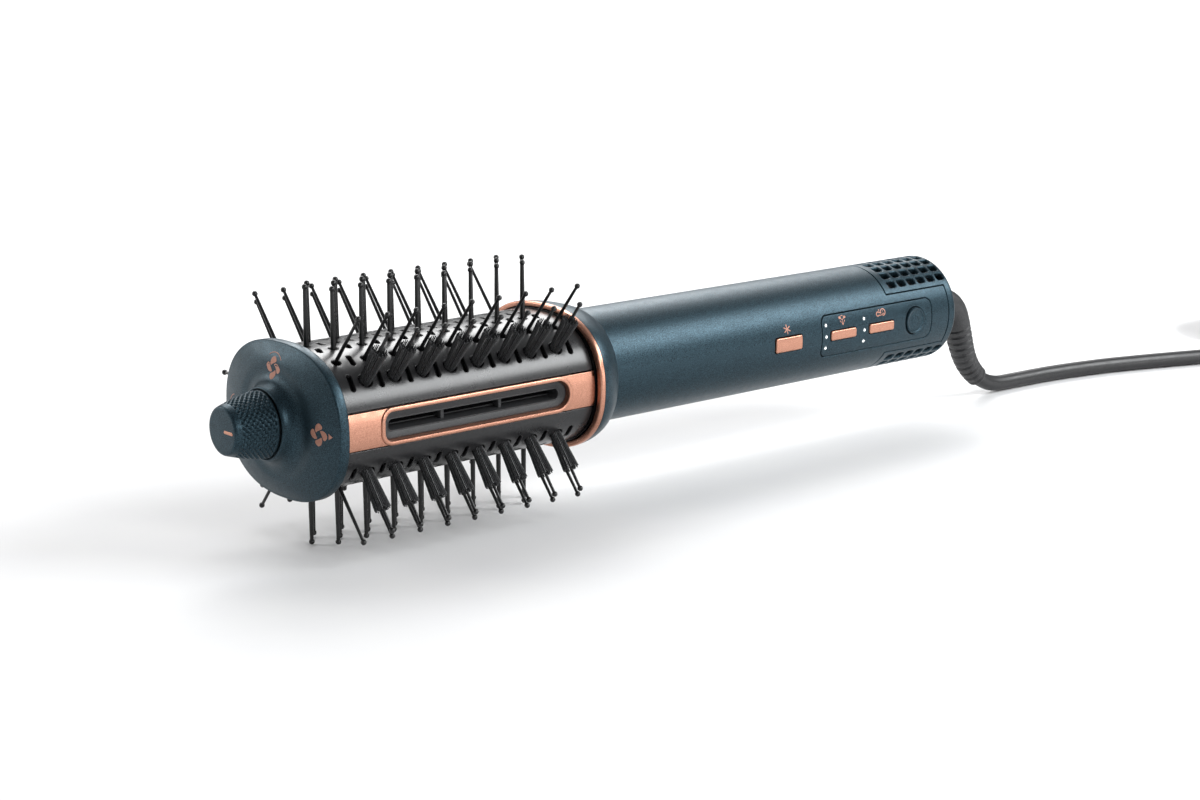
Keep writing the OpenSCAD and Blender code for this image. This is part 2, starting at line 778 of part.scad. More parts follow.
handle_tube();
handle_collar();
accent_ring();
barrel_bulkhead();
barrel_cover_top();
barrel_cover_bottom();
side_trim();
nozzle_frame();
bristle_carriers();
upright_pins_top();
upright_pins_bottom();
leaning_pins_top();
leaning_pins_bottom();
tufted_pins_top();
tufted_pins_bottom();
side_pins();
bristle_tufts_top();
bristle_tufts_bottom();
front_end_cap();
selector_bush();
selector_knob();
knob_marker();
selector_shaft();
shaft_clip();
air_shutter();
core_duct();
heater_sleeve();
heater_frame();
heater_coils();
thermostat();
thermal_fuse();
fan_duct();
motor_housing();
motor_magnets();
motor_bearings();
motor_shaft();
rotor_core();
impeller();
circuit_board();
board_carrier();
board_screws();
tact_switches();
control_panel();
status_lights();
cool_shot_button();
temperature_button();
speed_button();
power_button();
rear_grille_cover();
inlet_filter();
internal_leads();
swivel_socket();
swivel_spindle();
strain_relief();
power_cord();
cord_hank();
hank_tie();
plug_body();
plug_pins();
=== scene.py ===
"""Hot air brush: the visible pieces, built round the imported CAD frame.

Lengths are millimetres in the brush's own frame: x runs from the front of the barrel towards the lead,
the long axis lies at y = z = 0, and the buttons are on the -y side. to_row() gives the frame's metres.
Places on a shell are (x, s): s is the distance round the section, growing upwards on the button side.
"""
import json
import math
import random

import bpy
import numpy as np
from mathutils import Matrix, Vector, geometry
from mathutils.bvhtree import BVHTree


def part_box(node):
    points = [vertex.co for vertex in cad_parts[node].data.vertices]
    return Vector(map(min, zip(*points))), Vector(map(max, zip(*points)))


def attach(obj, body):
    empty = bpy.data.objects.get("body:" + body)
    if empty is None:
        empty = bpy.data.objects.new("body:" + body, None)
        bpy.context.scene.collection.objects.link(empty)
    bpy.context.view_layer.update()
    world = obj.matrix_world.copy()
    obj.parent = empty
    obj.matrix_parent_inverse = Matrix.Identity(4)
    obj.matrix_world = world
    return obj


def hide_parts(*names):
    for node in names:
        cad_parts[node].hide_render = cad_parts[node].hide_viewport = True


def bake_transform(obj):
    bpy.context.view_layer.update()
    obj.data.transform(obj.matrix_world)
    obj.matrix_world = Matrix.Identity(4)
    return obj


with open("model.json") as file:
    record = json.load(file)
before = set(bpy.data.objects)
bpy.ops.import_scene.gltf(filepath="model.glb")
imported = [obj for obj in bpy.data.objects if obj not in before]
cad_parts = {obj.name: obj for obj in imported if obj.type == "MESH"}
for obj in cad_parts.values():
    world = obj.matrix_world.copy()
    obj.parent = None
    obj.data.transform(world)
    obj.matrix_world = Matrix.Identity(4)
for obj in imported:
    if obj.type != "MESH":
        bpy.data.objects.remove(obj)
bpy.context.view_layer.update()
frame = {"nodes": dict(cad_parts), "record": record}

# ---------------------------------------------------------------- sizes, as in the CAD source

CAP_DEPTH = 3.6
CAP_HALF = (32.1, 25.0)
OVAL_POWER = 2.36
BARREL_HALF = (29.0, 22.3)
BARREL_X = (3.7, 103.7)
COVER_WALL = 1.2
FIRST_STATION = 10.1
PITCH = 10.85
TRIM_HALF_H = 6.0
TRIM_PROUD = 0.4
BEZEL_X = (17.1, 94.0)
BEZEL_H = 12.2
BEZEL_PROUD = 0.5
NOZZLE_X = (18.5, 92.5)
NOZZLE_H = 9.2
RING_X = (104.1, 106.0)
RING_HALF = (32.3, 24.6)
COLLAR_END_X = 120.0
COLLAR_END_R = 20.3
HANDLE_R = 20.0
WALL = 2.0
COVER_X = (260.2, 293.0)
HANDLE_END = 297.0
TONGUE_ANGLE = 34.0
PANEL_X = (222.4, 282.9)
PANEL_HALF_H = 7.8
PANEL_CORNER = 3.0
COOL_SHOT = (204.9, 13.6, 5.4)
TEMPERATURE = (233.6, 13.6, 3.6)
SPEED = (254.3, 13.6, 3.6)
POWER = (273.5, 5.0)
LIGHT_X = (224.5, 245.0)
LIGHT_RISE = 4.3
KNOB_X = (-21.5, -7.4)
KNOB_R = (7.6, 10.7)
BOSS_X = -7.1
ROW_ENDS = {
    # y and z of the base, lean outwards in degrees, first half-station, stations, length
    "centre": (0.0, 22.3, 0.0, 0, 9, 18.75),
    "inner": (6.9, 21.95, 0.0, 1, 8, 18.7),
    "leaning": (16.3, 20.2, 39.5, 0, 9, 19.2),
    "tufted": (23.9, 14.9, 37.8, 1, 8, 19.9),
    "side": (28.44, 6.1, 90.0, 0, 9, 19.9),
}
PIN_DEPTH = 3.2
BALL_R = 0.94
TUFT_LEN = 12.5
CORD_D = 6.4

random.seed(5)

handle_low, handle_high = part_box("handle_tube")
AXIS_Z = (handle_low.z + handle_high.z) / 2
AXIS_Y = (handle_low.y + handle_high.y) / 2
FRONT_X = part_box("front_end_cap")[1].x - CAP_DEPTH / 1000


def to_row(points):
    """Brush-frame millimetres as row-frame metres."""
    p = np.asarray(points, float).reshape(-1, 3) / 1000
    return p + np.array([FRONT_X, AXIS_Y, AXIS_Z])


# ---------------------------------------------------------------- materials


def new_material(name):
    m = bpy.data.materials.new(name)
    m.use_nodes = True
    nodes = m.node_tree.nodes
    nodes.clear()
    shader = nodes.new("ShaderNodeBsdfPrincipled")
    out = nodes.new("ShaderNodeOutputMaterial")
    m.node_tree.links.new(shader.outputs["BSDF"], out.inputs["Surface"])
    return m, shader


def noise(m, scale, detail=2.0, stretch=(1.0, 1.0, 1.0), kind="noise"):
    """A 3-D noise in the object's own metres; scale is repeats per metre."""
    nodes, links = m.node_tree.nodes, m.node_tree.links
    coords = nodes.new("ShaderNodeTexCoord")
    mapping = nodes.new("ShaderNodeMapping")
    mapping.inputs["Scale"].default_value = stretch
    links.new(coords.outputs["Object"], mapping.inputs["Vector"])
    if kind == "cells":
        tex = nodes.new("ShaderNodeTexVoronoi")
        out = tex.outputs["Distance"]
    else:
        tex = nodes.new("ShaderNodeTexNoise")
        tex.inputs["Detail"].default_value = detail
        out = tex.outputs["Fac"]
    tex.inputs["Scale"].default_value = scale
    links.new(mapping.outputs["Vector"], tex.inputs["Vector"])
    return out


def ramp(m, value, stops):
    """value through a colour ramp; stops are (place, grey or colour)."""
    node = m.node_tree.nodes.new("ShaderNodeValToRGB")
    elements = node.color_ramp.elements
    while len(elements) < len(stops):
        elements.new(0.5)
    for element, (place, colour) in zip(elements, stops):
        element.position = place
        rgb = (colour,) * 3 if isinstance(colour, (int, float)) else colour
        element.color = (*rgb, 1.0)
    m.node_tree.links.new(value, node.inputs["Fac"])
    return node.outputs["Color"]


def bump(m, shader, height, strength, distance):
    node = m.node_tree.nodes.new("ShaderNodeBump")
    node.inputs["Strength"].default_value = strength
    node.inputs["Distance"].default_value = distance
    m.node_tree.links.new(height, node.inputs["Height"])
    m.node_tree.links.new(node.outputs["Normal"], shader.inputs["Normal"])


def surface_material(name, dark, light, metallic, roughness, grain, bump_strength=0.1, bump_mm=0.02,
                     spread=(0.35, 0.65), coat=0.0, coat_roughness=0.1, stretch=(1, 1, 1), detail=2.0,
                     specular=0.5, kind="noise"):
    """Colour runs from dark to light with the grain; roughness is (low, high) over a coarser noise."""
    m, shader = new_material(name)
    fine = noise(m, grain, detail, stretch, kind)
    colour = ramp(m, fine, [(spread[0], dark), (spread[1], light)])
    links = m.node_tree.links
    links.new(colour, shader.inputs["Base Color"])
    smear = ramp(m, noise(m, grain / 9, 3.0, stretch), [(0.3, roughness[0]), (0.7, roughness[1])])
    links.new(smear, shader.inputs["Roughness"])
    shader.inputs["Metallic"].default_value = metallic
    shader.inputs["Specular IOR Level"].default_value = specular
    shader.inputs["Coat Weight"].default_value = coat
    shader.inputs["Coat Roughness"].default_value = coat_roughness
    bump(m, shader, fine, bump_strength, bump_mm / 1000)
    return m


def light_material(name, colour, strength):
    m, shader = new_material(name)
    glow = ramp(m, noise(m, 900), [(0.3, tuple(0.92 * c for c in colour)), (0.7, colour)])
    m.node_tree.links.new(glow, shader.inputs["Base Color"])
    m.node_tree.links.new(glow, shader.inputs["Emission Color"])
    shader.inputs["Emission Strength"].default_value = strength
    shader.inputs["Roughness"].default_value = 0.25
    return m


# Slot: dark and light colour, metallic, roughness from and to, grains per metre, other settings
FINISHES = {
    "teal_shell": ((0.008, 0.017, 0.023), (0.034, 0.068, 0.089), 0.7, (0.38, 0.45), 3600,
                   dict(bump_strength=0.25, bump_mm=0.014, coat=0.04, coat_roughness=0.3, specular=0.3)),
    "copper_trim": ((0.42, 0.195, 0.13), (0.57, 0.29, 0.205), 0.9, (0.27, 0.35), 3200,
                    dict(bump_strength=0.12, bump_mm=0.01)),
    "ceramic_cover": ((0.014, 0.014, 0.015), (0.021, 0.021, 0.022), 0.0, (0.27, 0.29), 1500,
                      dict(bump_strength=0.03, bump_mm=0.004)),
    "black_nylon": ((0.003, 0.003, 0.0035), (0.007, 0.007, 0.0075), 0.0, (0.26, 0.38), 2400,
                    dict(bump_strength=0.15, bump_mm=0.012)),
    "tuft_fibre": ((0.01, 0.01, 0.0105), (0.06, 0.062, 0.065), 0.0, (0.38, 0.55), 2600,
                   dict(bump_strength=0.25, bump_mm=0.03)),
    "white_acetal": ((0.62, 0.61, 0.56), (0.72, 0.71, 0.67), 0.0, (0.38, 0.5), 1200, {}),
    "steel": ((0.36, 0.36, 0.37), (0.6, 0.6, 0.61), 1.0, (0.22, 0.36), 1500, dict(stretch=(0.1, 1, 1))),
    "duct_aluminium": ((0.5, 0.5, 0.51), (0.72, 0.72, 0.73), 1.0, (0.32, 0.45), 1400,
                       dict(stretch=(0.08, 1, 1))),
    "grey_plastic": ((0.05, 0.05, 0.053), (0.075, 0.075, 0.078), 0.0, (0.4, 0.52), 1400, {}),
    "mica": ((0.34, 0.26, 0.14), (0.62, 0.52, 0.34), 0.05, (0.4, 0.6), 700, dict(detail=5.0)),
    "heater_wire": ((0.18, 0.16, 0.15), (0.36, 0.34, 0.33), 1.0, (0.35, 0.5), 2500, {}),
    "magnet": ((0.02, 0.02, 0.021), (0.04, 0.04, 0.042), 0.3, (0.5, 0.65), 1800, {}),
    "bronze": ((0.36, 0.2, 0.08), (0.55, 0.35, 0.16), 1.0, (0.35, 0.5), 2400, {}),
    "board_green": ((0.01, 0.085, 0.035), (0.02, 0.14, 0.06), 0.0, (0.25, 0.35), 500, dict(detail=4.0)),
    "boot_rubber": ((0.012, 0.012, 0.013), (0.026, 0.026, 0.028), 0.0, (0.42, 0.55), 2200,
                    dict(bump_strength=0.2, bump_mm=0.015)),
    "cord_black": ((0.01, 0.01, 0.011), (0.019, 0.019, 0.02), 0.0, (0.36, 0.48), 1800,
                   dict(bump_strength=0.12, bump_mm=0.012)),
    "plug_metal": ((0.5, 0.5, 0.51), (0.68, 0.68, 0.69), 1.0, (0.14, 0.24), 1500,
                   dict(stretch=(0.1, 1, 1))),
}
MATERIALS = {name: surface_material(name, *spec[:-1], **spec[-1]) for name, spec in FINISHES.items()}
MATERIALS["light_white"] = light_material("light_white", (1.0, 0.98, 0.94), 3.0)
ICON = surface_material("icon_print", (0.42, 0.19, 0.13), (0.52, 0.25, 0.18), 0.3, (0.4, 0.5), 3000)
FRAME_GREY = surface_material("nozzle_grey", (0.02, 0.021, 0.022), (0.032, 0.033, 0.035), 0.0, (0.45, 0.55),
                              2200, 0.15, 0.01, specular=0.4)
LENS = light_material("lamp_lens_glow", (0.3, 0.34, 0.36), 0.3)
WEBBING = surface_material("tie_webbing", (0.01, 0.01, 0.011), (0.05, 0.05, 0.052), 0.0, (0.7, 0.85),
                           1500, 0.5, 0.08, stretch=(1, 1, 3), kind="cells")

for part in frame["record"]["subparts"]:
    node = frame["nodes"][part["node"]]
    node.data.materials.clear()
    node.data.materials.append(MATERIALS[part["material_slot"]])

# ---------------------------------------------------------------- meshes


def new_object(name, points, faces, material, sharp=38.0, normals=None):
    """A mesh object in place, with its material, that rides on nothing yet."""
    mesh = bpy.data.meshes.new(name)
    mesh.from_pydata(to_row(points).tolist(), [], [list(map(int, f)) for f in faces])
    mesh.polygons.foreach_set("use_smooth", [True] * len(mesh.polygons))
    if normals is None:
        mesh.set_sharp_from_angle(angle=math.radians(sharp))
    else:
        mesh.normals_split_custom_set(normals)
    mesh.materials.append(material)
    piece = bpy.data.objects.new(name, mesh)
    bpy.context.scene.collection.objects.link(piece)
    return piece


def add_piece(name, points, faces, slot, body="brush", replaces=(), normals=None, sharp=38.0,
              material=None):
    """An object that rides on its body and stands for CAD nodes."""
    piece = new_object(name, points, faces, material or MATERIALS[slot], sharp, normals)
    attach(piece, body)
    if replaces:
        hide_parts(*replaces)
    return piece


def joined(parts):
    """Several (points, faces) as one."""
    points, faces, start = [], [], 0
    for p, f in parts:
        p = np.asarray(p, float)
        points.append(p)
        faces += [tuple(i + start for i in face) for face in f]
        start += len(p)
    return np.vstack(points), faces


def flipped(points, faces, axis):
    """The mirror image across an axis (1 for y, 2 for z)."""
    p = np.array(points, float)
    p[:, axis] *= -1
    return p, [tuple(reversed(f)) for f in faces]


def loft(rings, cap_start=True, cap_end=True, loop=False):
    """Quads between rings of equal count; each ring runs clockwise seen from the first ring's side."""
    rings = np.asarray(rings, float)
    k, m = rings.shape[:2]
    faces = []
    for i in range(k if loop else k - 1):
        a, b = i * m, ((i + 1) % k) * m
        for j in range(m):
            n = (j + 1) % m
            faces.append((a + j, a + n, b + n, b + j))
    if cap_start and not loop:
        faces.append(tuple(reversed(range(m))))
    if cap_end and not loop:
        faces.append(tuple((k - 1) * m + j for j in range(m)))
    return rings.reshape(-1, 3), faces


def xyz(*parts):
    """Rows of points from columns, where a single number fills its column."""
    return np.column_stack(np.broadcast_arrays(*parts))


def full_turn(count):
    return np.linspace(0, 2 * np.pi, count, endpoint=False)


def round_ring(x, r, sides=96):
    t = full_turn(sides)
    return xyz(x, r * np.cos(t), r * np.sin(t))


def oval_ring(x, a, b, power=OVAL_POWER, sides=160):
    c, s = np.cos(full_turn(sides)), np.sin(full_turn(sides))
    return xyz(x, a * np.sign(c) * np.abs(c) ** (2 / power), b * np.sign(s) * np.abs(s) ** (2 / power))


def turned(profile, sides=96, loop=False):
    """A solid of revolution about the x axis; profile is (x, r), front to back on the outside."""
    return loft([round_ring(x, r, sides) for x, r in profile], loop=loop)


def arc(centre, r, start, end, steps):
    """Points of an arc, angles in degrees."""
    t = np.radians(np.linspace(start, end, steps))
    return [(centre[0] + r * math.cos(a), centre[1] + r * math.sin(a)) for a in t]


# ---------------------------------------------------------------- shells with real holes


class Tube:
    """The handle's surface: s = 0 on the button side, or at the back where way is -1."""

    def __init__(self, r, way=1):
        self.r, self.way = r, way

    def basis(self, x, s):
        c, n = self.way * np.cos(s / self.r), self.way * np.sin(s / self.r)
        return xyz(x, -self.r * c, self.r * n), xyz(0.0, n, c), xyz(0.0, -c, n)


class Oval:
    """The barrel's surface: s = 0 on top, side() on the +y side."""

    def __init__(self, a, b, power=OVAL_POWER):
        self.a, self.b, self.power = a, b, power
        t = np.linspace(-np.pi, np.pi, 7201)
        self.y = a * np.sign(np.sin(t)) * np.abs(np.sin(t)) ** (2 / power)
        self.z = b * np.sign(np.cos(t)) * np.abs(np.cos(t)) ** (2 / power)
        steps = np.hypot(np.diff(self.y), np.diff(self.z))
        length = np.concatenate([[0], np.cumsum(steps)])
        self.s = length - length[len(length) // 2]

    def side(self):
        return self.s[-1] / 2

    def s_at(self, y):
        """s on the upper half at a place y."""
        half = np.abs(self.s) <= self.side()
        return float(np.interp(y, self.y[half], self.s[half]))

    def s_at_height(self, z):
        """s on the +y side at a height z."""
        half = self.s >= 0
        return float(np.interp(-z, -self.z[half], self.s[half]))

    def basis(self, x, s):
        y, z = np.interp(s, self.s, self.y), np.interp(s, self.s, self.z)
        ny = np.sign(y) * np.abs(y / self.a) ** (self.power - 1) / self.a
        nz = np.sign(z) * np.abs(z / self.b) ** (self.power - 1) / self.b
        size = np.hypot(ny, nz)
        ny, nz = ny / size, nz / size
        return xyz(x, y, z), xyz(0.0, nz, -ny), xyz(0.0, ny, nz)


class Plate:
    """A flat face at x, looking along -x: u runs along -y and s along z."""

    def __init__(self, x):
        self.x = x

    def places(self, u, s):
        return self.x

    def basis(self, u, s):
        zero = np.zeros_like(u)
        return xyz(self.places(u, s), -u, s), xyz(zero, 0.0, 1.0), xyz(zero - 1, 0.0, 0.0)


class CapFace(Plate):
    """The end plate's front as it was built, for its prints."""

    def __init__(self, points, faces):
        self.tree = BVHTree.FromPolygons([tuple(p) for p in points], faces)

    def places(self, u, s):
        return [self.tree.ray_cast(Vector((-30, -a, b)), Vector((1, 0, 0)))[0].x for a, b in zip(u, s)]


class FlatSide:
    """A flat face at y, looking along -y: u runs along x and s along z."""

    def __init__(self, y):
        self.y = y

    def basis(self, u, s):
        zero = np.zeros_like(u)
        return xyz(u, self.y, s), xyz(zero, 0.0, 1.0), xyz(zero, -1.0, 0.0)


def round_polygon(corners, radii, step=1.5, fine=0.25):
    """(points, outward normals) of an anticlockwise outline with rounded corners."""
    pts, dirs = [], []
    n = len(corners)
    radii = [radii] * n if isinstance(radii, (int, float)) else radii
    spans = []
    for i in range(n):
        p, c, q = (np.array(corners[(i + k) % n], float) for k in (-1, 0, 1))
        d1, d2 = (c - p) / np.linalg.norm(c - p), (q - c) / np.linalg.norm(q - c)
        turn = math.atan2(d1[0] * d2[1] - d1[1] * d2[0], float(d1 @ d2))
        cut = abs(radii[i] * math.tan(turn / 2))
        spans.append((c - d1 * cut, c + d2 * cut, d1, turn, radii[i]))
    for i in range(n):
        start, end, d1, turn, r = spans[i]
        normal = np.array([d1[1], -d1[0]])
        centre = start - normal * r * (1 if turn > 0 else -1)
        steps = max(2, int(abs(turn) * r / fine) + 2)
        for k in range(steps):
            a = turn * k / (steps - 1)
            m = np.array([normal[0] * math.cos(a) - normal[1] * math.sin(a),
                          normal[0] * math.sin(a) + normal[1] * math.cos(a)])
            pts.append(centre + m * r * (1 if turn > 0 else -1))
            dirs.append(m)
        after = spans[(i + 1) % n][0]
        length = np.linalg.norm(after - end)
        inner = int(length / step)
        last = dirs[-1]
        for k in range(1, inner):
            pts.append(end + (after - end) * k / inner)
            dirs.append(last)
    return np.array(pts), np.array(dirs)


def turn_matrix(degrees):
    a = math.radians(degrees)
    return np.array([[math.cos(a), math.sin(a)], [-math.sin(a), math.cos(a)]])


def placed(outline, x, s, angle=0.0):
    """An outline moved to (x, s) and turned by an angle in degrees."""
    turn = turn_matrix(angle)
    return outline[0] @ turn + np.array([x, s]), outline[1] @ turn


def round_rect(w, h, r, step=1.5, fine=0.25):
    x, y = w / 2, h / 2
    return round_polygon([(-x, -y), (x, -y), (x, y), (-x, y)], r, step, fine)


def circle(r, count=28):
    d = xyz(np.cos(full_turn(count)), np.sin(full_turn(count)))
    return r * d, d


def inside(points, loops):
    """Which points an odd number of loops hold."""
    crossings = np.zeros(len(points), int)
    for loop in loops:
        a, b = loop, np.roll(loop, -1, axis=0)
        for start in range(0, len(points), 4000):
            px, py = points[start:start + 4000, 0:1], points[start:start + 4000, 1:2]
            over = (a[:, 1] > py) != (b[:, 1] > py)
            rise = np.where(b[:, 1] == a[:, 1], 1e-12, b[:, 1] - a[:, 1])
            cross = px < (b[:, 0] - a[:, 0]) * (py - a[:, 1]) / rise + a[:, 0]
            crossings[start:start + 4000] += (over & cross).sum(1)
    return crossings % 2 == 1


# How an edge turns from the surface into the wall: (distance from the edge, height, degrees turned)
CRISP = [(0.16, 0.0, 0), (0.1, -0.015, 25), (0.04, -0.06, 60), (0.0, -0.16, 90)]
SOFT = [(0.34, 0.0, 0), (0.22, -0.03, 22), (0.1, -0.11, 50), (0.02, -0.24, 75), (0.0, -0.4, 90)]
SEAM = [(0.26, 0.0, 0), (0.17, -0.03, 25), (0.08, -0.1, 50), (0.02, -0.2, 75), (0.0, -0.34, 90)]
BEVEL = [(0.5, 0.0, 0), (0.43, -0.03, 30), (0.18, -0.25, 45), (0.05, -0.42, 65), (0.0, -0.62, 88)]


def shell(surface, outer, holes, thickness, spacing, edge=CRISP, hole_edge=None, relief=None,
          closed_round=None, lift=0.0):
    """A sheet on a surface with rounded edges and real holes: points, faces and corner normals.

    closed_round is the section's length where the sheet goes all the way round."""
    loops = [(outer, -1.0, edge)] + [(h, 1.0, hole_edge or edge) for h in holes]
    top_loops = [p + sign * levels[0][0] * d for (p, d), sign, levels in loops]
    contour = np.vstack(top_loops)
    low, high = contour.min(0), contour.max(0)
    gx = np.arange(low[0] + spacing / 2, high[0], spacing)
    gs = np.arange(low[1] + spacing / 2, high[1], spacing)
    grid = np.array(np.meshgrid(gx, gs)).reshape(2, -1).T
    grid = grid[inside(grid, top_loops)]
    clear = np.ones(len(grid), bool)
    for start in range(0, len(grid), 1000):
        block = grid[start:start + 1000]
        near = ((block[:, None, :] - contour[None]) ** 2).sum(2).min(1)
        clear[start:start + 1000] = near > (0.5 * spacing) ** 2
    grid = grid[clear]
    flat_points = np.vstack([contour, grid])
    edges, start = [], 0
    for loop in top_loops:
        n = len(loop)
        edges += [(start + i, start + (i + 1) % n) for i in range(n)]
        start += n
    result = geometry.delaunay_2d_cdt([Vector(p) for p in flat_points.tolist()], edges, [], 0, 1e-6, True)
    out_points, out_faces, source = result[0], result[2], result[3]
    index = [o[0] if len(o) else -1 for o in source]
    middles = np.array([sum((out_points[i] for i in f), Vector((0, 0))) / 3 for f in out_faces])
    keep = inside(middles, top_loops)
    triangles = [tuple(index[i] for i in f) for f, k in zip(out_faces, keep) if k]
    triangles = [t for t in triangles if -1 not in t and len(set(t)) == 3]

    def height(x, s):
        return lift + (relief(x, s) if relief else np.zeros_like(x))

    def lay(q, h, turn_out=None, degrees=0.0):
        """Points and normals at heights above the surface."""
        x, s = q[:, 0], q[:, 1]
        base, round_, normal = surface.basis(x, s)
        rise = height(x, s)
        if relief:
            step = 0.05
            slope_x = (height(x + step, s) - height(x - step, s)) / (2 * step)
            slope_s = (height(x, s + step) - height(x, s - step)) / (2 * step)
            along = np.cross(round_, normal)
            facing = normal - slope_x[:, None] * along - slope_s[:, None] * round_
            facing /= np.linalg.norm(facing, axis=1)[:, None]
        else:
            facing = normal
        points = base + normal * (rise + h)[:, None]
        if turn_out is not None:
            along = np.cross(round_, normal)
            out = turn_out[:, :1] * along + turn_out[:, 1:] * round_
            a = math.radians(degrees)
            facing = facing * math.cos(a) + out * math.sin(a)
            size = np.linalg.norm(facing, axis=1)
            facing /= np.where(size > 0, size, 1)[:, None]
        return points, facing

    top, top_normals = lay(flat_points, np.zeros(len(flat_points)))
    points, normals = [top], [top_normals]
    faces = list(triangles)
    bottom_of = {}
    offset = len(top)
    start = 0
    for (p, d), sign, levels in loops:
        n = len(p)
        rows = [list(range(start, start + n))]
        out = -sign * d
        for away, h, degrees in levels[1:] + [(0.0, -thickness, 90)]:
            q = p + sign * away * d
            pts, nrm = lay(q, np.full(n, h), out, degrees)
            points.append(pts)
            normals.append(nrm)
            rows.append(list(range(offset, offset + n)))
            offset += n
        for upper, lower in zip(rows, rows[1:]):
            for i in range(n):
                j = (i + 1) % n
                if closed_round:
                    edge_s = closed_round / 2 - 1e-6
                    if abs(p[i, 1]) > edge_s and abs(p[j, 1]) > edge_s:
                        continue
                quad = (upper[i], lower[i], lower[j], upper[j])
                faces.append(quad if sign < 0 else tuple(reversed(quad)))
        for i in range(n):
            bottom_of[start + i] = rows[-1][i]
        start += n
    under = len(grid)
    pts, nrm = lay(grid, np.full(under, -thickness)) if under else (np.zeros((0, 3)), np.zeros((0, 3)))
    points.append(pts)
    normals.append(nrm)
    for i in range(under):
        bottom_of[start + i] = offset + i
    first_bottom = len(faces)
    faces += [tuple(bottom_of[i] for i in reversed(t)) for t in triangles]
    points, normals = np.vstack(points), np.vstack(normals)
    if closed_round:
        _, first, back = np.unique(np.round(points, 4), axis=0, return_index=True, return_inverse=True)
        back = back.reshape(-1)
        points, normals = points[first], normals[first]
        faces = [tuple(int(back[i]) for i in f) for f in faces]
    corner_normals = []
    for k, face in enumerate(faces):
        sign = -1.0 if k >= first_bottom else 1.0
        corner_normals += [tuple(sign * normals[i]) for i in face]
    return points, faces, corner_normals


def flipped_shell(made, axis):
    """The mirror image of a shell, its corner normals included."""
    points, faces, normals = made
    points = points.copy()
    points[:, axis] *= -1
    turned_normals, start = [], 0
    for face in faces:
        corners = [list(v) for v in normals[start:start + len(face)]]
        start += len(face)
        for v in corners:
            v[axis] *= -1
        turned_normals += [tuple(v) for v in reversed(corners)]
    return points, [tuple(reversed(f)) for f in faces], turned_normals


def add_shell(name, made, slot, body="brush", replaces=(), material=None):
    return add_piece(name, made[0], made[1], slot, body, replaces, normals=made[2], material=material)


# ---------------------------------------------------------------- camera, light and floor


def add_camera():
    data = bpy.data.cameras.new("camera")
    data.lens, data.sensor_width = 69.33, 36.0
    camera = bpy.data.objects.new("camera", data)
    camera.location = (-0.54282, -0.59851, 0.20839)
    camera.rotation_euler = (math.radians(77.13), 0.0, math.radians(-41.08))
    bpy.context.scene.collection.objects.link(camera)
    bpy.context.scene.camera = camera


def add_area_light(name, place, target, size, power, colour=(1.0, 1.0, 1.0)):
    data = bpy.data.lights.new(name, "AREA")
    data.shape = "RECTANGLE"
    data.size, data.size_y = size
    data.energy, data.color = power, colour
    light = bpy.data.objects.new(name, data)
    light.location = place
    light.rotation_euler = (Vector(target) - Vector(place)).to_track_quat("-Z", "Y").to_euler()
    bpy.context.scene.collection.objects.link(light)


def add_studio():
    size = 14.0
    mesh = bpy.data.meshes.new("floor")
    mesh.from_pydata([(-size, -size, 0), (size, -size, 0), (size, size, 0), (-size, size, 0)], [],
                     [(0, 1, 2, 3)])
    m = surface_material("floor_paper", (0.8, 0.8, 0.805), (0.81, 0.81, 0.81), 0.0, (0.9, 0.94), 40,
                         bump_strength=0.0)
    mesh.materials.append(m)
    floor = bpy.data.objects.new("floor", mesh)
    bpy.context.scene.collection.objects.link(floor)
    world = bpy.data.worlds.new("studio")
    world.use_nodes = True
    background = world.node_tree.nodes["Background"]
    background.inputs["Color"].default_value = (0.95, 0.97, 1.0, 1.0)
    background.inputs["Strength"].default_value = 0.2
    bpy.context.scene.world = world
    middle = (-0.02, 0.0, 0.04)
    add_area_light("key_left", (-0.72, 0.9, 0.38), middle, (0.6, 0.4), 4.5, (1.0, 0.98, 0.96))
    add_area_light("front_left", (-0.03, -1.15, 0.5), (-0.15, 0.0, 0.04), (0.3, 0.3), 5.0)
    add_area_light("front_right", (0.8, -0.72, 0.74), middle, (0.9, 0.45), 16.0, (0.97, 0.99, 1.0))
    add_area_light("strip_card", (0.5, -1.03, 0.11), (-0.1, 0.0, 0.04), (0.3, 0.12), 1.3)
    add_area_light("top_back", (0.1, 0.6, 0.8), middle, (1.0, 0.25), 4.0)
    add_area_light("mid_floor", (1.1, 1.35, 1.3), (1.1, 1.4, 0.0), (1.8, 1.8), 26.0)
    add_area_light("far_floor", (2.6, 3.4, 2.2), (2.6, 3.5, 0.0), (3.0, 3.0), 150.0)
    bpy.context.scene.view_settings.view_transform = "Standard"


# ---------------------------------------------------------------- cords


def between(a, b, c, d, t):
    """A point of the Catmull-Rom curve from b to c."""
    return 0.5 * (2 * b + (c - a) * t + (2 * a - 5 * b + 4 * c - d) * t * t
                  + (3 * b - a - 3 * c + d) * t ** 3)


def smooth_path(points, per_span):
    """A smooth curve through the points."""
    p = np.asarray(points, float)
    p = np.vstack([2 * p[0] - p[1], p, 2 * p[-1] - p[-2]])
    out = []
    for i in range(1, len(p) - 2):
        out += [between(*p[i - 1:i + 3], k / per_span) for k in range(per_span)]
    out.append(p[-2])
    return np.array(out)


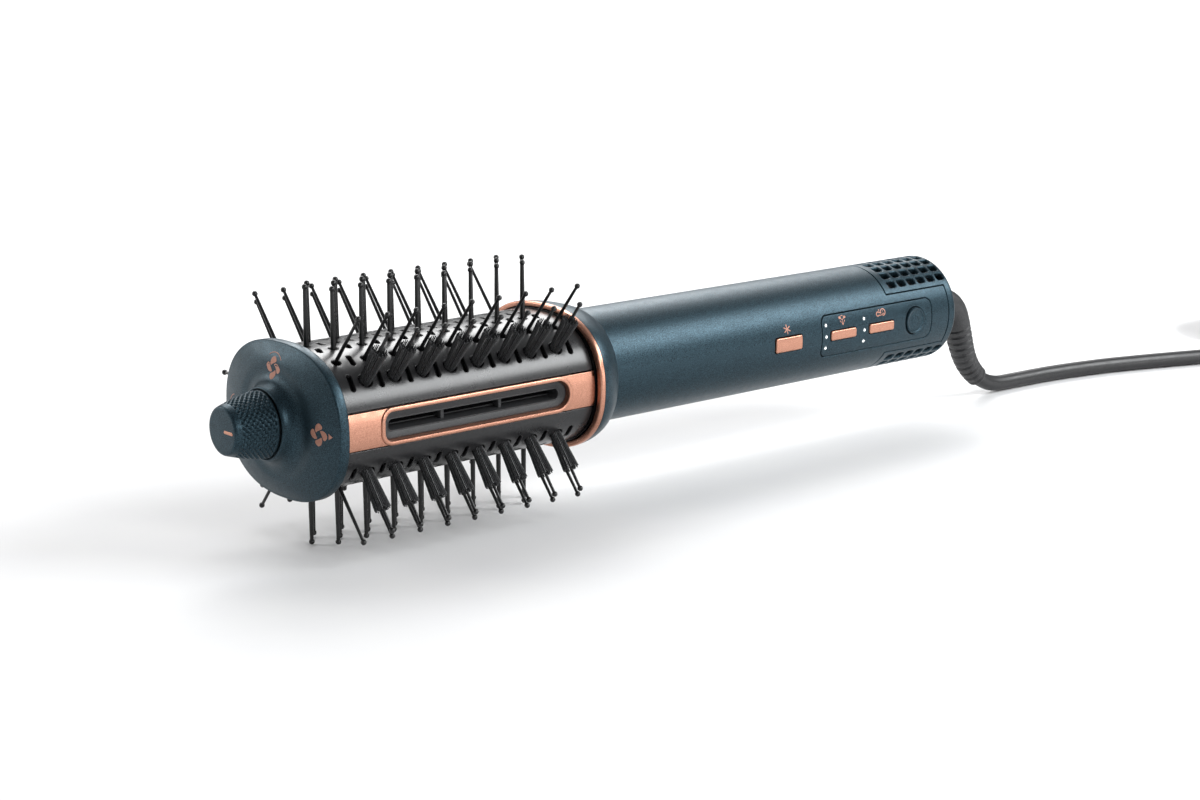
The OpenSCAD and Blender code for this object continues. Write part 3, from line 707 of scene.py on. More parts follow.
def tube_along(path, radii, sides=14, up=(0, 0, 1)):
    """Rings along a path, turned as little as they can be, as a closed tube."""
    path = np.asarray(path, float)
    tangents = np.gradient(path, axis=0)
    tangents /= np.linalg.norm(tangents, axis=1)[:, None]
    side = np.cross(np.array(up, float), tangents[0])
    side /= np.linalg.norm(side)
    t = full_turn(sides)
    rings = []
    for p, d, r in zip(path, tangents, radii):
        side = side - d * (side @ d)
        side /= np.linalg.norm(side)
        lift = np.cross(d, side)
        rings.append(p + r * (np.cos(t)[:, None] * side + np.sin(t)[:, None] * lift))
    return loft(rings)


LEAD_START = [(177.5, 0, 8), (181.3, 0, 5.8), (186, 0, 4.2), (191, 0, 3.4), (198, 0, 3.2),
              (208, -0.5, 3.2), (222, -1.5, 3.2), (238, -4, 3.2), (254, -7.5, 3.2), (270, -12.5, 3.2),
              (286, -18, 3.2), (302, -24, 3.2), (318, -29.5, 3.2), (334, -34.5, 3.4), (350, -38.2, 3.8),
              (366, -40.3, 4.2)]
LEAD_END = [(436, -40.8, 10.5), (446, -40.8, 9.2), (457, -40.8, 8)]
HANK_Y = -8.0
HANK_X = (384.0, 427.0)
TURN_RADII = (32.8, 26.2, 19.6, 19.6, 26.2, 32.8)
LAYER_Z = (4.2, 4.2, 4.2, 10.8, 10.8, 10.8)


def ease(t):
    t = min(1.0, max(0.0, t))
    return t * t * (3 - 2 * t)


def lead_route():
    """The lead's centreline in millimetres, over the floor: along it, into the hank, to the plug."""
    route = list(LEAD_START)
    last = len(TURN_RADII) - 1
    for k, (r, z) in enumerate(zip(TURN_RADII, LAYER_Z)):
        r_next, z_next = TURN_RADII[min(k + 1, last)], LAYER_Z[min(k + 1, last)]
        for t in (0.0, 1 / 3, 2 / 3):
            route.append((HANK_X[0] + t * (HANK_X[1] - HANK_X[0]), HANK_Y - r, z))
        for t in np.linspace(0, 1, 10)[:-1]:
            a = math.radians(-90 + 180 * t)
            route.append((HANK_X[1] + r * math.cos(a), HANK_Y + r * math.sin(a), z))
        for t in (0.0, 1 / 3, 2 / 3):
            route.append((HANK_X[1] - t * (HANK_X[1] - HANK_X[0]), HANK_Y + r, z))
        for t in np.linspace(0, 1, 12)[:-1]:
            a = math.radians(90 + 180 * t)
            rr = r + (r_next - r) * ease(t)
            zz = z + (z_next - z) * ease(t / 0.6)
            route.append((HANK_X[0] + rr * math.cos(a), HANK_Y + rr * math.sin(a), zz))
    for t in (0.0, 1 / 3, 2 / 3, 1.0):
        route.append((HANK_X[0] + t * (HANK_X[1] - HANK_X[0]), HANK_Y - TURN_RADII[last], LAYER_Z[last]))
    return route + list(LEAD_END)


def from_row(points):
    """Row-frame millimetres in the brush's frame."""
    return np.asarray(points, float) - np.array([FRONT_X, AXIS_Y, AXIS_Z]) * 1000


def brush_box(node):
    """A CAD node's lowest and highest corners in the brush's frame."""
    return [from_row(np.array(corner) * 1000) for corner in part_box(node)]


def add_lead():
    row_path = smooth_path(lead_route(), 3) + np.array([0.0, AXIS_Y * 1000, 0.0])
    points, faces = tube_along(from_row(row_path), np.full(len(row_path), CORD_D / 2 - 0.02), 16)
    lead = new_object("mains_lead", points, faces, MATERIALS["cord_black"], 50)
    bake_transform(lead)
    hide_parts("power_cord", "cord_hank")
    return lead, row_path / 1000


def add_tie():
    """Strap of hook-and-loop webbing round the hank."""
    low, high = brush_box("hank_tie")
    outline, _ = round_polygon([(low[1], low[2]), (high[1], low[2]), (high[1], high[2]),
                                (low[1], high[2])], 6.5, 3.0, 0.8)
    inner, _ = round_polygon([(low[1] + 1, low[2] + 1), (high[1] - 1, low[2] + 1),
                              (high[1] - 1, high[2] - 1), (low[1] + 1, high[2] - 1)], 5.5, 3.0, 0.8)
    count = 96

    def resampled(loop):
        closed = np.vstack([loop, loop[:1]])
        length = np.concatenate([[0], np.cumsum(np.linalg.norm(np.diff(closed, axis=0), axis=1))])
        at = np.linspace(0, length[-1], count, endpoint=False)
        return np.column_stack([np.interp(at, length, closed[:, i]) for i in (0, 1)])

    out, inn = resampled(outline), resampled(inner)
    mid = (out + inn) / 2
    lay = [(low[0], mid), (low[0] + 0.25, out), (high[0] - 0.25, out), (high[0], mid),
           (high[0] - 0.25, inn), (low[0] + 0.25, inn)]
    rings = [xyz(x, loop[:, 0], loop[:, 1]) for x, loop in lay]
    points, faces = loft(rings, loop=True)
    return add_piece("hank_strap", points, faces, "black_nylon", replaces=["hank_tie"], material=WEBBING)


def add_plug():
    """Moulded plug body with a waist for the fingers, a parting line and a ringed boot."""
    low, high = brush_box("plug_body")
    x0, x1 = low[0] + 20, high[0]
    y, z = (low[1] + high[1]) / 2, (low[2] + high[2]) / 2
    stations = [(0.0, 6.2, 6.0), (0.03, 7.6, 7.0), (0.1, 10.2, 7.6), (0.22, 14.2, 7.9), (0.34, 16.4, 7.95),
                (0.5, 16.9, 7.9), (0.66, 17.0, 7.7), (0.8, 17.4, 7.8), (0.9, 17.0, 7.9), (0.96, 15.4, 7.6),
                (0.99, 14.4, 7.0), (1.0, 13.8, 6.5)]
    sides = 96
    rings = []
    for t, half_y, half_z in stations:
        ring = oval_ring(x0 + t * (x1 - x0), half_y, half_z, 3.6, sides)
        ring[:, 1] += y
        ring[:, 2] += z
        rings.append(ring)
    body = loft(rings)
    profile = [(x0 - 20, 4.1)]
    for k in range(6):
        x = x0 - 19.4 + 3.1 * k
        r = 4.6 + 0.32 * k
        profile += [(x, r), (x + 1.7, r + 0.1), (x + 1.9, r - 0.8), (x + 2.9, r - 0.75)]
    profile.append((x0 + 1.0, 6.0))
    boot = turned(profile, 40)
    boot = (boot[0] + np.array([0, y, z]), boot[1])
    piece = add_piece("plug_moulding", *joined([body, boot]), "cord_black", replaces=["plug_body"])
    pins = []
    p_low, p_high = brush_box("plug_pins")
    r = (p_high[2] - p_low[2]) / 2
    for pin_y in (p_low[1] + r, p_high[1] - r):
        profile = [(p_low[0] - 1, r), (p_low[0] + 9.5, r), (p_low[0] + 10, r - 0.12)]
        profile += [(p_high[0] - 1.4 + 1.4 * math.sin(a), r - 1.4 + 1.4 * math.cos(a))
                    for a in np.radians([0, 25, 50, 75, 90])]
        pin = turned(profile, 32)
        pins.append((pin[0] + np.array([0, pin_y, (p_low[2] + p_high[2]) / 2]), pin[1]))
    metal = add_piece("plug_contacts", *joined(pins), "plug_metal", replaces=["plug_pins"])
    return piece, metal


# ---------------------------------------------------------------- front end


def add_cap():
    """Oval end plate that swells into the knob's boss."""
    sides = 160
    rings = [round_ring(x, r, sides) for x, r in [
        (BOSS_X + 0.5, 4.0), (BOSS_X + 0.5, 10.3), (BOSS_X + 0.35, 10.9), (BOSS_X, 11.2), (BOSS_X + 0.05, 11.5),
        (-6.8, 11.75), (-6.0, 11.95), (-5.2, 12.15), (-4.4, 12.5), (-3.7, 13.05), (-3.1, 13.8),
        (-2.65, 14.8), (-2.35, 16.0), (-2.2, 17.3)]]
    for t in (0.12, 0.26, 0.42, 0.58, 0.73, 0.86, 0.95, 1.0):
        inner = round_ring(0, 17.3, sides)
        outer = oval_ring(0, CAP_HALF[0] - 0.7, CAP_HALF[1] - 0.7, OVAL_POWER, sides)
        ring = inner + (outer - inner) * t
        ring[:, 0] = -2.2 + 2.2 * t ** 1.7 - 0.25 * (1 - t)
        rings.append(ring)
    for x, inset in ((0.06, 0.38), (0.22, 0.14), (0.5, 0.0), (3.2, 0.0), (3.5, 0.12), (CAP_DEPTH, 0.4),
                     (CAP_DEPTH, 3.0), (2.0, 3.4)):
        rings.append(oval_ring(x, CAP_HALF[0] - inset, CAP_HALF[1] - inset, OVAL_POWER, sides))
    rings.append(round_ring(2.0, 9.0, sides))
    rings.append(round_ring(0.0, 4.0, sides))
    points, faces = loft(rings, loop=True)
    add_piece("end_cap", points, faces, "teal_shell", replaces=["front_end_cap"], sharp=50)
    return CapFace(points, faces)


def add_knob():
    """Flared knob: flat face, smooth shoulder, diamond knurl cut in the mesh."""
    starts, per = 28, 14
    sides = starts * per
    length = KNOB_X[1] - KNOB_X[0]

    def body_r(t):
        return KNOB_R[0] + (KNOB_R[1] - KNOB_R[0]) * (1 - (1 - t) ** 1.55)

    rings = []
    for x, r in ((0.0, 6.7), (0.03, 7.15), (0.14, 7.45), (0.35, 7.65)):
        rings.append(round_ring(KNOB_X[0] + x, r, sides))
    rows = 112
    theta = full_turn(sides)
    for k in range(rows + 1):
        t = 0.05 + 0.92 * k / rows
        x = KNOB_X[0] + t * length
        r = body_r(t)
        turn = starts * theta
        climb = 2 * np.pi * 8.0 * t
        pit = np.abs(np.sin((turn + climb) / 2) * np.sin((turn - climb) / 2))
        depth = ease((t - 0.14) / 0.05) * ease((0.965 - t) / 0.03)
        cut = 0.6 * depth * np.maximum(pit - 0.14, 0)
        rings.append(xyz(x, (r - cut) * np.cos(theta), (r - cut) * np.sin(theta)))
    rings.append(round_ring(KNOB_X[1] - 0.08, KNOB_R[1] - 0.06, sides))
    rings.append(round_ring(KNOB_X[1], KNOB_R[1] - 0.2, sides))
    points, faces = loft(rings)
    add_piece("knurled_knob", points, faces, "teal_shell", "selector", ["selector_knob"], sharp=48)
    groove = turned([(KNOB_X[1] - 0.1, 9.7), (KNOB_X[1] - 0.1, 10.2), (BOSS_X + 0.4, 10.2),
                     (BOSS_X + 0.4, 9.7)], 96)
    add_piece("knob_gap_ring", *groove, "black_nylon", "selector")
    bar = shell(Plate(KNOB_X[0]), placed(round_rect(4.9, 1.05, 0.5, 0.5, 0.12), 3.7, 0), [], 0.5, 0.5,
                edge=CRISP, lift=0.14)
    add_shell("knob_pointer", bar, "copper_trim", "selector", ["knob_marker"])


def petal(angle):
    """One blade of the fan sign, fat at its outer end."""
    control = [(-1.12, 0.66), (-1.45, 1.35), (-1.38, 2.15), (-0.9, 3.05), (0.1, 3.6), (1.0, 3.3), (1.55, 2.6),
               (1.45, 2.05), (0.95, 1.72), (0.2, 1.42), (-0.5, 1.06)]
    n = len(control)
    p = np.array(control)
    pts = [between(p[i - 1], p[i], p[(i + 1) % n], p[(i + 2) % n], t) for i in range(n) for t in (0.0, 0.5)]
    return np.array(pts) @ turn_matrix(angle)


def arc_band(r, width, start, end, steps=16):
    """A bent stroke as a polygon."""
    outer = arc((0, 0), r + width / 2, start, end, steps)
    inner = arc((0, 0), r - width / 2, end, start, steps)
    return np.array(outer + inner)


def stroke(a, b, width):
    a, b = np.array(a, float), np.array(b, float)
    d = (b - a) / np.linalg.norm(b - a)
    n = np.array([d[1], -d[0]]) * width / 2
    return np.array([a + n, b + n, b - n, a - n])


def outward(polygon):
    """A polygon run anticlockwise with its corner normals."""
    p = np.array(polygon, float)
    area = np.sum(p[:, 0] * np.roll(p[:, 1], -1) - np.roll(p[:, 0], -1) * p[:, 1])
    if area < 0:
        p = p[::-1]
    d = np.roll(p, -1, axis=0) - np.roll(p, 1, axis=0)
    d /= np.linalg.norm(d, axis=1)[:, None]
    return p, np.column_stack([d[:, 1], -d[:, 0]])


PRINT_EDGE = [(0.03, 0.0, 0), (0.0, -0.02, 80)]


def add_print(name, surface, x, s, shapes, lift=0.03, thickness=0.06, spacing=0.8, slot="copper_trim",
              body="brush", material=ICON):
    """Signs as thin raised prints on a surface."""
    made, normals = [], []
    for polygon in shapes:
        points, faces, corner = shell(surface, placed(outward(polygon), x, s), [], thickness, spacing,
                                      edge=PRINT_EDGE, lift=lift)
        made.append((points, faces))
        normals += corner
    add_piece(name, *joined(made), slot, body, normals=normals, material=material)


def add_cap_prints(face):
    fan = [petal(90 * k) for k in range(4)]
    arrow = np.array([(4.2, -0.95), (5.7, 0), (4.2, 0.95)])
    for name, u, s, sign in (("top", 0, 17.2, arc_band(4.75, 0.24, 36, 127)), ("left", 23.2, 0, arrow),
                             ("right", -23.2, 0, arc_band(4.75, 0.24, 100, 190))):
        add_print("print_fan_" + name, face, u, s, fan + [sign], lift=0.05)


# ---------------------------------------------------------------- barrel

BARREL = Oval(*BARREL_HALF)


def station(half_steps):
    return FIRST_STATION + half_steps * PITCH / 2


def row_places(row, between=False):
    """(x, side) of a row's bristles, or of the places half-way between them."""
    _, _, _, first, count, _ = ROW_ENDS[row]
    if between:
        first, count = 1 - first, 17 - count
    sides = {"centre": (0,), "side": (1,)}.get(row, (-1, 1))
    return [(station(first + 2 * i), side) for i in range(count) for side in sides]


def hole_s(row):
    """Distance round the cover to where a row's bristles pass through it."""
    y, z, *_ = ROW_ENDS[row]
    return BARREL.s_at_height(z) if row == "side" else BARREL.s_at(y)


def add_covers():
    near, far = -BARREL.s_at_height(TRIM_HALF_H + 0.2), BARREL.s_at_height(0.15)
    outer = round_polygon([(BARREL_X[0], near), (BARREL_X[1], near), (BARREL_X[1], far), (BARREL_X[0], far)],
                          0.5, 1.3, 0.3)
    holes, dimples = [], []
    slots = {"centre": (0, 4.6), "inner": (20, 4.6), "leaning": (12, 5.6), "tufted": (8, 6.2),
             "side": (0, 5.6)}
    for row, (slant, long) in slots.items():
        s = hole_s(row)
        for x, side in row_places(row):
            r = 2.35 if row == "tufted" and side < 0 else 1.5
            holes.append(placed(circle(r, 24), x, side * s))
            dimples.append((x, side * s, r + 1.6))
        for x, side in row_places(row, True):
            holes.append(placed(round_rect(long, 1.7, 0.84, 1.2, 0.28), x, side * s, 90 + side * slant))
    dimples = np.array(dimples)

    def relief(x, s):
        depth = np.zeros_like(x)
        for cx, cs, r in dimples:
            d = np.hypot(x - cx, s - cs) / r
            depth = np.maximum(depth, 0.14 * np.clip(1 - d * d, 0, 1) ** 1.5)
        return -depth

    made = shell(BARREL, outer, holes, COVER_WALL, 1.15, edge=SOFT, hole_edge=SOFT, relief=relief)
    add_shell("cover_upper", made, "ceramic_cover", replaces=["barrel_cover_top"])
    add_shell("cover_lower", flipped_shell(made, 2), "ceramic_cover", replaces=["barrel_cover_bottom"])


def pin_mesh(length, root_r, neck_r, sides=14):
    """A bristle along +z with a ball tip."""
    profile = [(-PIN_DEPTH, root_r), (0.0, root_r), (length * 0.5, (root_r + neck_r) / 2),
               (length - BALL_R * 0.84, neck_r)]
    for a in np.radians([-52, -30, -8, 15, 38, 60, 80]):
        profile.append((length + BALL_R * math.sin(a), BALL_R * math.cos(a)))
    t = full_turn(sides)
    return loft([xyz(r * np.cos(t), r * np.sin(t), z) for z, r in profile])


def lean_matrix(degrees):
    """Turns +z outwards towards +y."""
    a = math.radians(degrees)
    return np.array([[1, 0, 0], [0, math.cos(a), math.sin(a)], [0, -math.sin(a), math.cos(a)]])


def on_row(row, made, only=(-1, 0, 1)):
    """A mesh copied to every place of a row, on the sides named."""
    y, z, lean, *_ = ROW_ENDS[row]
    copies = []
    for x, side in row_places(row):
        if side not in only:
            continue
        turn = lean_matrix(side * lean)
        copies.append((made[0] @ turn.T + np.array([x, side * y, z]), made[1]))
    return copies


def add_both(name, parts, slot, nodes):
    """A piece on top and its mirror image below."""
    points, faces = joined(parts)
    add_piece(name + "_top", points, faces, slot, replaces=[nodes + "_top"])
    add_piece(name + "_bottom", *flipped(points, faces, 2), slot, replaces=[nodes + "_bottom"])


def add_bristles():
    upright = pin_mesh(ROW_ENDS["centre"][5], 0.85, 0.62)
    inner = pin_mesh(ROW_ENDS["inner"][5], 0.85, 0.62)
    add_both("pins_upright", on_row("centre", upright) + on_row("inner", inner), "black_nylon",
             "upright_pins")
    add_both("pins_leaning", on_row("leaning", pin_mesh(ROW_ENDS["leaning"][5], 0.62, 0.5)),
             "black_nylon", "leaning_pins")
    add_both("pins_tufted", on_row("tufted", pin_mesh(ROW_ENDS["tufted"][5], 0.62, 0.5)),
             "black_nylon", "tufted_pins")
    points, faces = joined(on_row("side", pin_mesh(ROW_ENDS["side"][5], 0.62, 0.5)))
    add_piece("pins_side", *joined([(points, faces), flipped(points, faces, 2)]), "black_nylon",
              replaces=["side_pins"])


def tuft_mesh():
    """A flared bundle of filaments, cut off nearly level."""
    filaments = []
    rings = [(0.75, 6), (1.15, 12), (1.5, 18), (1.78, 26)]
    start_z, end_z = -1.2, TUFT_LEN
    for base_r, count in rings:
        for k in range(count):
            a = 2 * math.pi * (k + random.uniform(-0.2, 0.2)) / count
            r0 = base_r * random.uniform(0.97, 1.0)
            r1 = base_r * random.uniform(1.3, 1.5)
            top = end_z + random.uniform(-0.45, 0.35)
            thick = 0.175 if base_r > 1.3 else 0.15
            ring_points = []
            for t, r in ((0.0, r0), (0.5, (r0 + r1) / 2), (1.0, r1)):
                z = start_z + t * (top - start_z)
                cx, cy = r * math.cos(a), r * math.sin(a)
                w = thick * (0.85 + 0.25 * t)
                ring_points.append([(cx + w * math.cos(a + b), cy + w * math.sin(a + b), z)
                                    for b in (0, math.pi / 2, math.pi, 3 * math.pi / 2)])
            filaments.append(loft(ring_points))
    return joined(filaments)


def add_tufts():
    copies = on_row("tufted", tuft_mesh(), only=(-1,))
    points, faces = joined(copies)
    add_piece("tufts_top", points, faces, "tuft_fibre", replaces=["bristle_tufts_top"], sharp=70)
    add_piece("tufts_bottom", *flipped(points, faces, 2), "tuft_fibre",
              replaces=["bristle_tufts_bottom"], sharp=70)


TRIM = Oval(BARREL_HALF[0] + TRIM_PROUD, BARREL_HALF[1] + TRIM_PROUD)


def stadium(x0, x1, h, r_left, r_right):
    """Outline from x0 to x1, h high, with its own corner radius at each end."""
    return round_polygon([(x0, -h / 2), (x1, -h / 2), (x1, h / 2), (x0, h / 2)],
                         [r_left, r_right, r_right, r_left], 2.0, 0.35)


def ring_wall(surface, middle_s, rows):
    """Quads down a list of (outline, height): each outline has the same count of points."""
    rings = []
    for (pts, _), h in rows:
        base, _, normal = surface.basis(pts[:, 0], pts[:, 1] + middle_s)
        rings.append(base + normal * h)
    return np.array(rings)


def same_count(x0, x1, h, r_left, r_right, per_corner=14, per_side=40):
    """A stadium with a fixed number of points."""
    corners = [(x0 + r_left, -h / 2 + r_left, r_left, 180), (x1 - r_right, -h / 2 + r_right, r_right, 270),
               (x1 - r_right, h / 2 - r_right, r_right, 0), (x0 + r_left, h / 2 - r_left, r_left, 90)]
    pts = []
    for i, (cx, cy, r, start) in enumerate(corners):
        pts += arc((cx, cy), r, start, start + 90, per_corner)
        nx, ny, nr, nstart = corners[(i + 1) % 4]
        a = np.array(pts[-1])
        b = np.array([nx + nr * math.cos(math.radians(nstart)), ny + nr * math.sin(math.radians(nstart))])
        steps = per_side if i % 2 == 0 else 3
        pts += [tuple(a + (b - a) * k / steps) for k in range(1, steps)]
    return np.array(pts), None


def add_nozzle_side():
    """Copper strip, its raised bezel and the black nozzle frame."""
    side_s = -TRIM.side()
    half = TRIM_HALF_H
    outer = placed(round_polygon([(BARREL_X[0], -half), (BARREL_X[1] + 0.2, -half),
                                  (BARREL_X[1] + 0.2, half), (BARREL_X[0], half)], 0.25, 1.5, 0.12), 0, side_s)
    opening = placed(stadium(BEZEL_X[0] + 0.35, BEZEL_X[1] - 0.35, BEZEL_H - 0.9, 3.6, 5.4), 0, side_s)
    strip = shell(TRIM, outer, [opening], 1.3, 1.2, edge=SOFT, hole_edge=CRISP)

    def loop(inset, left=4.4, right=6.0):
        return same_count(BEZEL_X[0] + inset, BEZEL_X[1] - inset, BEZEL_H - 2 * inset, left - inset * 0.8,
                          right - inset)

    rows = [(loop(0.0), -0.25), (loop(0.02), 0.1), (loop(0.12), 0.34), (loop(0.32), BEZEL_PROUD - 0.02),
            (loop(0.6), BEZEL_PROUD), (loop(1.15), BEZEL_PROUD - 0.04), (loop(1.36), BEZEL_PROUD - 0.16),
            (loop(1.46), BEZEL_PROUD - 0.42), (loop(1.5), -0.2), (loop(1.52), -1.7), (loop(1.2), -1.7),
            (loop(0.5), -0.9)]
    bezel = loft(ring_wall(TRIM, side_s, rows), loop=True)
    rows = [(loop(1.35), -1.75), (loop(1.62), -1.55), (loop(1.75), -1.5), (loop(2.3), -1.56),
            (loop(3.6, 4.6), -2.35), (loop(3.85, 4.7), -2.42), (loop(4.05, 4.8), -2.3),
            (loop(4.22, 4.9), -2.34), (loop(4.3, 4.9), -2.6), (loop(4.32, 4.9), -11.9), (loop(1.35), -11.9)]
    well = loft(ring_wall(TRIM, side_s, rows), loop=True)
    bars = [block((cx - 0.8, -TRIM.a + 4.7, -2.2), (cx + 0.8, -TRIM.a + 11.8, 2.2), 0.25)
            for cx in (BEZEL_X[0] + 26.9, BEZEL_X[0] + 50.1)]
    vanes = [block((BEZEL_X[0] + 4.5, -TRIM.a + 7.2, z - 0.22),
                   (BEZEL_X[1] - 4.5, -TRIM.a + 11.6, z + 0.22), 0.1) for z in (-0.95, 0.95)]
    add_shell("trim_strip", strip, "copper_trim", replaces=["side_trim"])
    add_piece("nozzle_bezel", *bezel, "copper_trim")
    add_piece("nozzle_well", *joined([well] + bars + vanes), "black_nylon", replaces=["nozzle_frame"],
              material=FRAME_GREY)


def block(low, high, chamfer):
    """A box with its edges taken off."""
    low, high = np.array(low, float), np.array(high, float)
    c = chamfer
    rings = []
    for x, inset in ((low[0], c), (low[0] + c, 0), (high[0] - c, 0), (high[0], c)):
        ya, yb, za, zb = low[1] + inset, high[1] - inset, low[2] + inset, high[2] - inset
        ring = [(x, yb - c, za), (x, yb, za + c), (x, yb, zb - c), (x, yb - c, zb), (x, ya + c, zb),
                (x, ya, zb - c), (x, ya, za + c), (x, ya + c, za)]
        rings.append(ring)
    return loft(rings)


# ---------------------------------------------------------------- ring, collar and handle


def add_ring_and_collar():
    sides = 200
    x0, x1 = RING_X
    a, b = RING_HALF
    rows = [(x1, 0.25), (x1 - 0.15, 0.0), (x0 + 0.75, 0.0), (x0 + 0.3, 0.14), (x0 + 0.06, 0.45),
            (x0, 0.9), (x0 + 0.02, 1.7), (x0 + 0.12, 2.15), (x0 + 0.35, 2.35), (x1, 2.4)]
    ring = loft([oval_ring(x, a - i, b - i * 0.72, OVAL_POWER, sides) for x, i in reversed(rows)], loop=True)
    add_piece("copper_ring", *ring, "copper_trim", replaces=["accent_ring"])
    rings = [oval_ring(x1 + 0.02, a - 2.2, b - 2.2, OVAL_POWER, sides),
             oval_ring(x1 + 0.02, a - 0.5, b - 0.4, OVAL_POWER, sides)]
    steps = 40
    for k in range(steps + 1):
        t = 1 - (1 - k / steps) ** 1.5
        f = max(0.0, 1 - t ** 1.6) ** (1 / 1.6)
        x = x1 + 0.1 + t * (COLLAR_END_X - x1 - 0.1)
        rings.append(oval_ring(x, COLLAR_END_R + (a - 0.1 - COLLAR_END_R) * f,
                               COLLAR_END_R + (b - 0.1 - COLLAR_END_R) * f, 2 + (OVAL_POWER - 2) * f, sides))
    rings.append(oval_ring(COLLAR_END_X, 18.1, 18.1, 2, sides))
    rings.append(oval_ring(COLLAR_END_X - 6, 18.1, 18.1, 2, sides))
    collar = loft(rings, loop=True)
    add_piece("flared_collar", *collar, "teal_shell", replaces=["handle_collar"], sharp=55)


HANDLE = Tube(HANDLE_R)


def round_s(degrees):
    return math.radians(degrees) * HANDLE_R


def run_of_lines(corners, steps, normals):
    """Outline points and normals along straight lines from corner to corner."""
    pts, dirs = [], []
    for a, b, step, normal in zip(corners, corners[1:] + corners[:1], steps, normals):
        a, b = np.array(a, float), np.array(b, float)
        n = max(1, int(np.linalg.norm(b - a) / step))
        pts += [a + (b - a) * k / n for k in range(n)]
        dirs += [normal] * n
    return np.array(pts), np.array(dirs, float)


def same(a, b):
    return abs(a - b) < 1e-9


def add_handle():
    whole = 2 * math.pi * HANDLE_R
    half = whole / 2
    t_s = round_s(TONGUE_ANGLE) - 0.22
    x0, x1, x2 = COLLAR_END_X, COVER_X[0] - 0.3, COVER_X[1] - 0.3

    pts, dirs = run_of_lines(
        [(x0, -half), (x1, -half), (x1, -t_s), (x2, -t_s), (x2, t_s), (x1, t_s), (x1, half), (x0, half)],
        [2.6, 1.4, 1.4, 1.4, 1.4, 1.4, 2.6, 1.4],
        [(0, 0), (1, 0), (0, -1), (1, 0), (0, 1), (1, 0), (0, 0), (-1, 0)])
    for i, (x, s) in enumerate(pts):
        if same(abs(s), half) and (same(x, x0) or same(x, x1)):
            dirs[i] = (-1, 0) if same(x, x0) else (1, 0)
        elif same(abs(s), t_s) and (same(x, x1) or same(x, x2)):
            dirs[i] = (1, math.copysign(1, s))
    panel_mid = (PANEL_X[0] + PANEL_X[1]) / 2
    panel_w = PANEL_X[1] - PANEL_X[0] + 0.3
    panel_h = 2 * round_s(math.degrees(math.asin((PANEL_HALF_H + 0.15) / HANDLE_R)))
    holes = [placed(round_rect(panel_w, panel_h, PANEL_CORNER + 0.15, 1.5, 0.4), panel_mid, 0),
             placed(round_rect(COOL_SHOT[1] + 0.55, COOL_SHOT[2] + 0.55, 1.1, 1.2, 0.25), COOL_SHOT[0], 0)]
    made = shell(HANDLE, (pts, dirs), holes, WALL, 2.4, edge=SEAM, closed_round=whole)
    add_shell("handle_shell", made, "teal_shell", replaces=["handle_tube"])

    inner_h = 2 * round_s(math.degrees(math.asin(PANEL_HALF_H / HANDLE_R))) - 0.2
    outer = placed(round_rect(PANEL_X[1] - PANEL_X[0] - 0.2, inner_h, PANEL_CORNER, 1.5, 0.4), panel_mid, 0)
    holes = [placed(round_rect(b[1] + 0.5, b[2] + 0.5, 1.1, 1.2, 0.2), b[0], 0) for b in (TEMPERATURE, SPEED)]
    holes.append(placed(circle(POWER[1] + 0.5, 64), POWER[0], 0))
    for x in LIGHT_X:
        holes += [placed(circle(0.78, 16), x, k * LIGHT_RISE) for k in (-1, 0, 1)]

    def dish(x, s):
        """The panel sinks a little round the power button."""
        d = np.hypot(x - POWER[0], s)
        return -0.16 * np.clip(1 - (d - POWER[1] - 0.5) / 1.3, 0, 1) ** 2

    made = shell(HANDLE, outer, holes, WALL, 1.5, relief=dish, edge=SEAM, hole_edge=CRISP)
    add_shell("panel_plate", made, "teal_shell", replaces=["control_panel"])


def add_rear():
    whole = 2 * math.pi * HANDLE_R
    half = whole / 2
    t_s = half - round_s(TONGUE_ANGLE) - 0.06
    x1, x2, x3 = COVER_X[0], COVER_X[1], HANDLE_END - 1.2

    pts, dirs = run_of_lines(
        [(x1, -t_s), (x2, -t_s), (x2, -half), (x3, -half), (x3, half), (x2, half), (x2, t_s), (x1, t_s)],
        [1.4] * 8, [(0, -1), (-1, 0), (0, 0), (1, 0), (0, 0), (-1, 0), (0, 1), (-1, 0)])
    for i, (x, s) in enumerate(pts):
        if same(abs(s), half):
            dirs[i] = (-1, 0) if same(x, x2) else (0, 0)
        elif same(abs(s), t_s) and (same(x, x1) or same(x, x2)):
            dirs[i] = (-1, math.copysign(1, s))
    holes = []
    for middle in (90.0, -90.0):
        for k in range(8):
            s = round_s(middle + 12.86 * (k - 3.5))
            for c in range(6):
                holes.append(placed(round_rect(3.8, 2.9, 0.7, 1.4, 0.3), 265.6 + 5.5 * c, s))
    made = shell(Tube(HANDLE_R, -1), (pts, dirs), holes, WALL, 2.0, edge=SEAM, closed_round=whole,
                 hole_edge=BEVEL)
    add_shell("grille_cover", made, "teal_shell", replaces=["rear_grille_cover"])
    profile = [(x3 - 0.14, HANDLE_R - 0.002)]
    profile += [(x3 - 0.14 + 1.3 * math.sin(a), HANDLE_R - 1.3 + 1.3 * math.cos(a))
                for a in np.radians([12, 26, 40, 54, 68, 82, 90])]
    profile += [(HANDLE_END - 0.02, 17.2), (HANDLE_END - 0.3, 16.9), (HANDLE_END - 0.3, 10.4),
                (HANDLE_END - 0.1, 10.1), (HANDLE_END - 0.1, 9.6), (HANDLE_END - 2, 9.6), (x3 - 0.14, 17.9)]
    rim = turned(profile, 160, loop=True)
    add_piece("rear_rim", *rim, "teal_shell", sharp=40)


# ---------------------------------------------------------------- buttons and lights


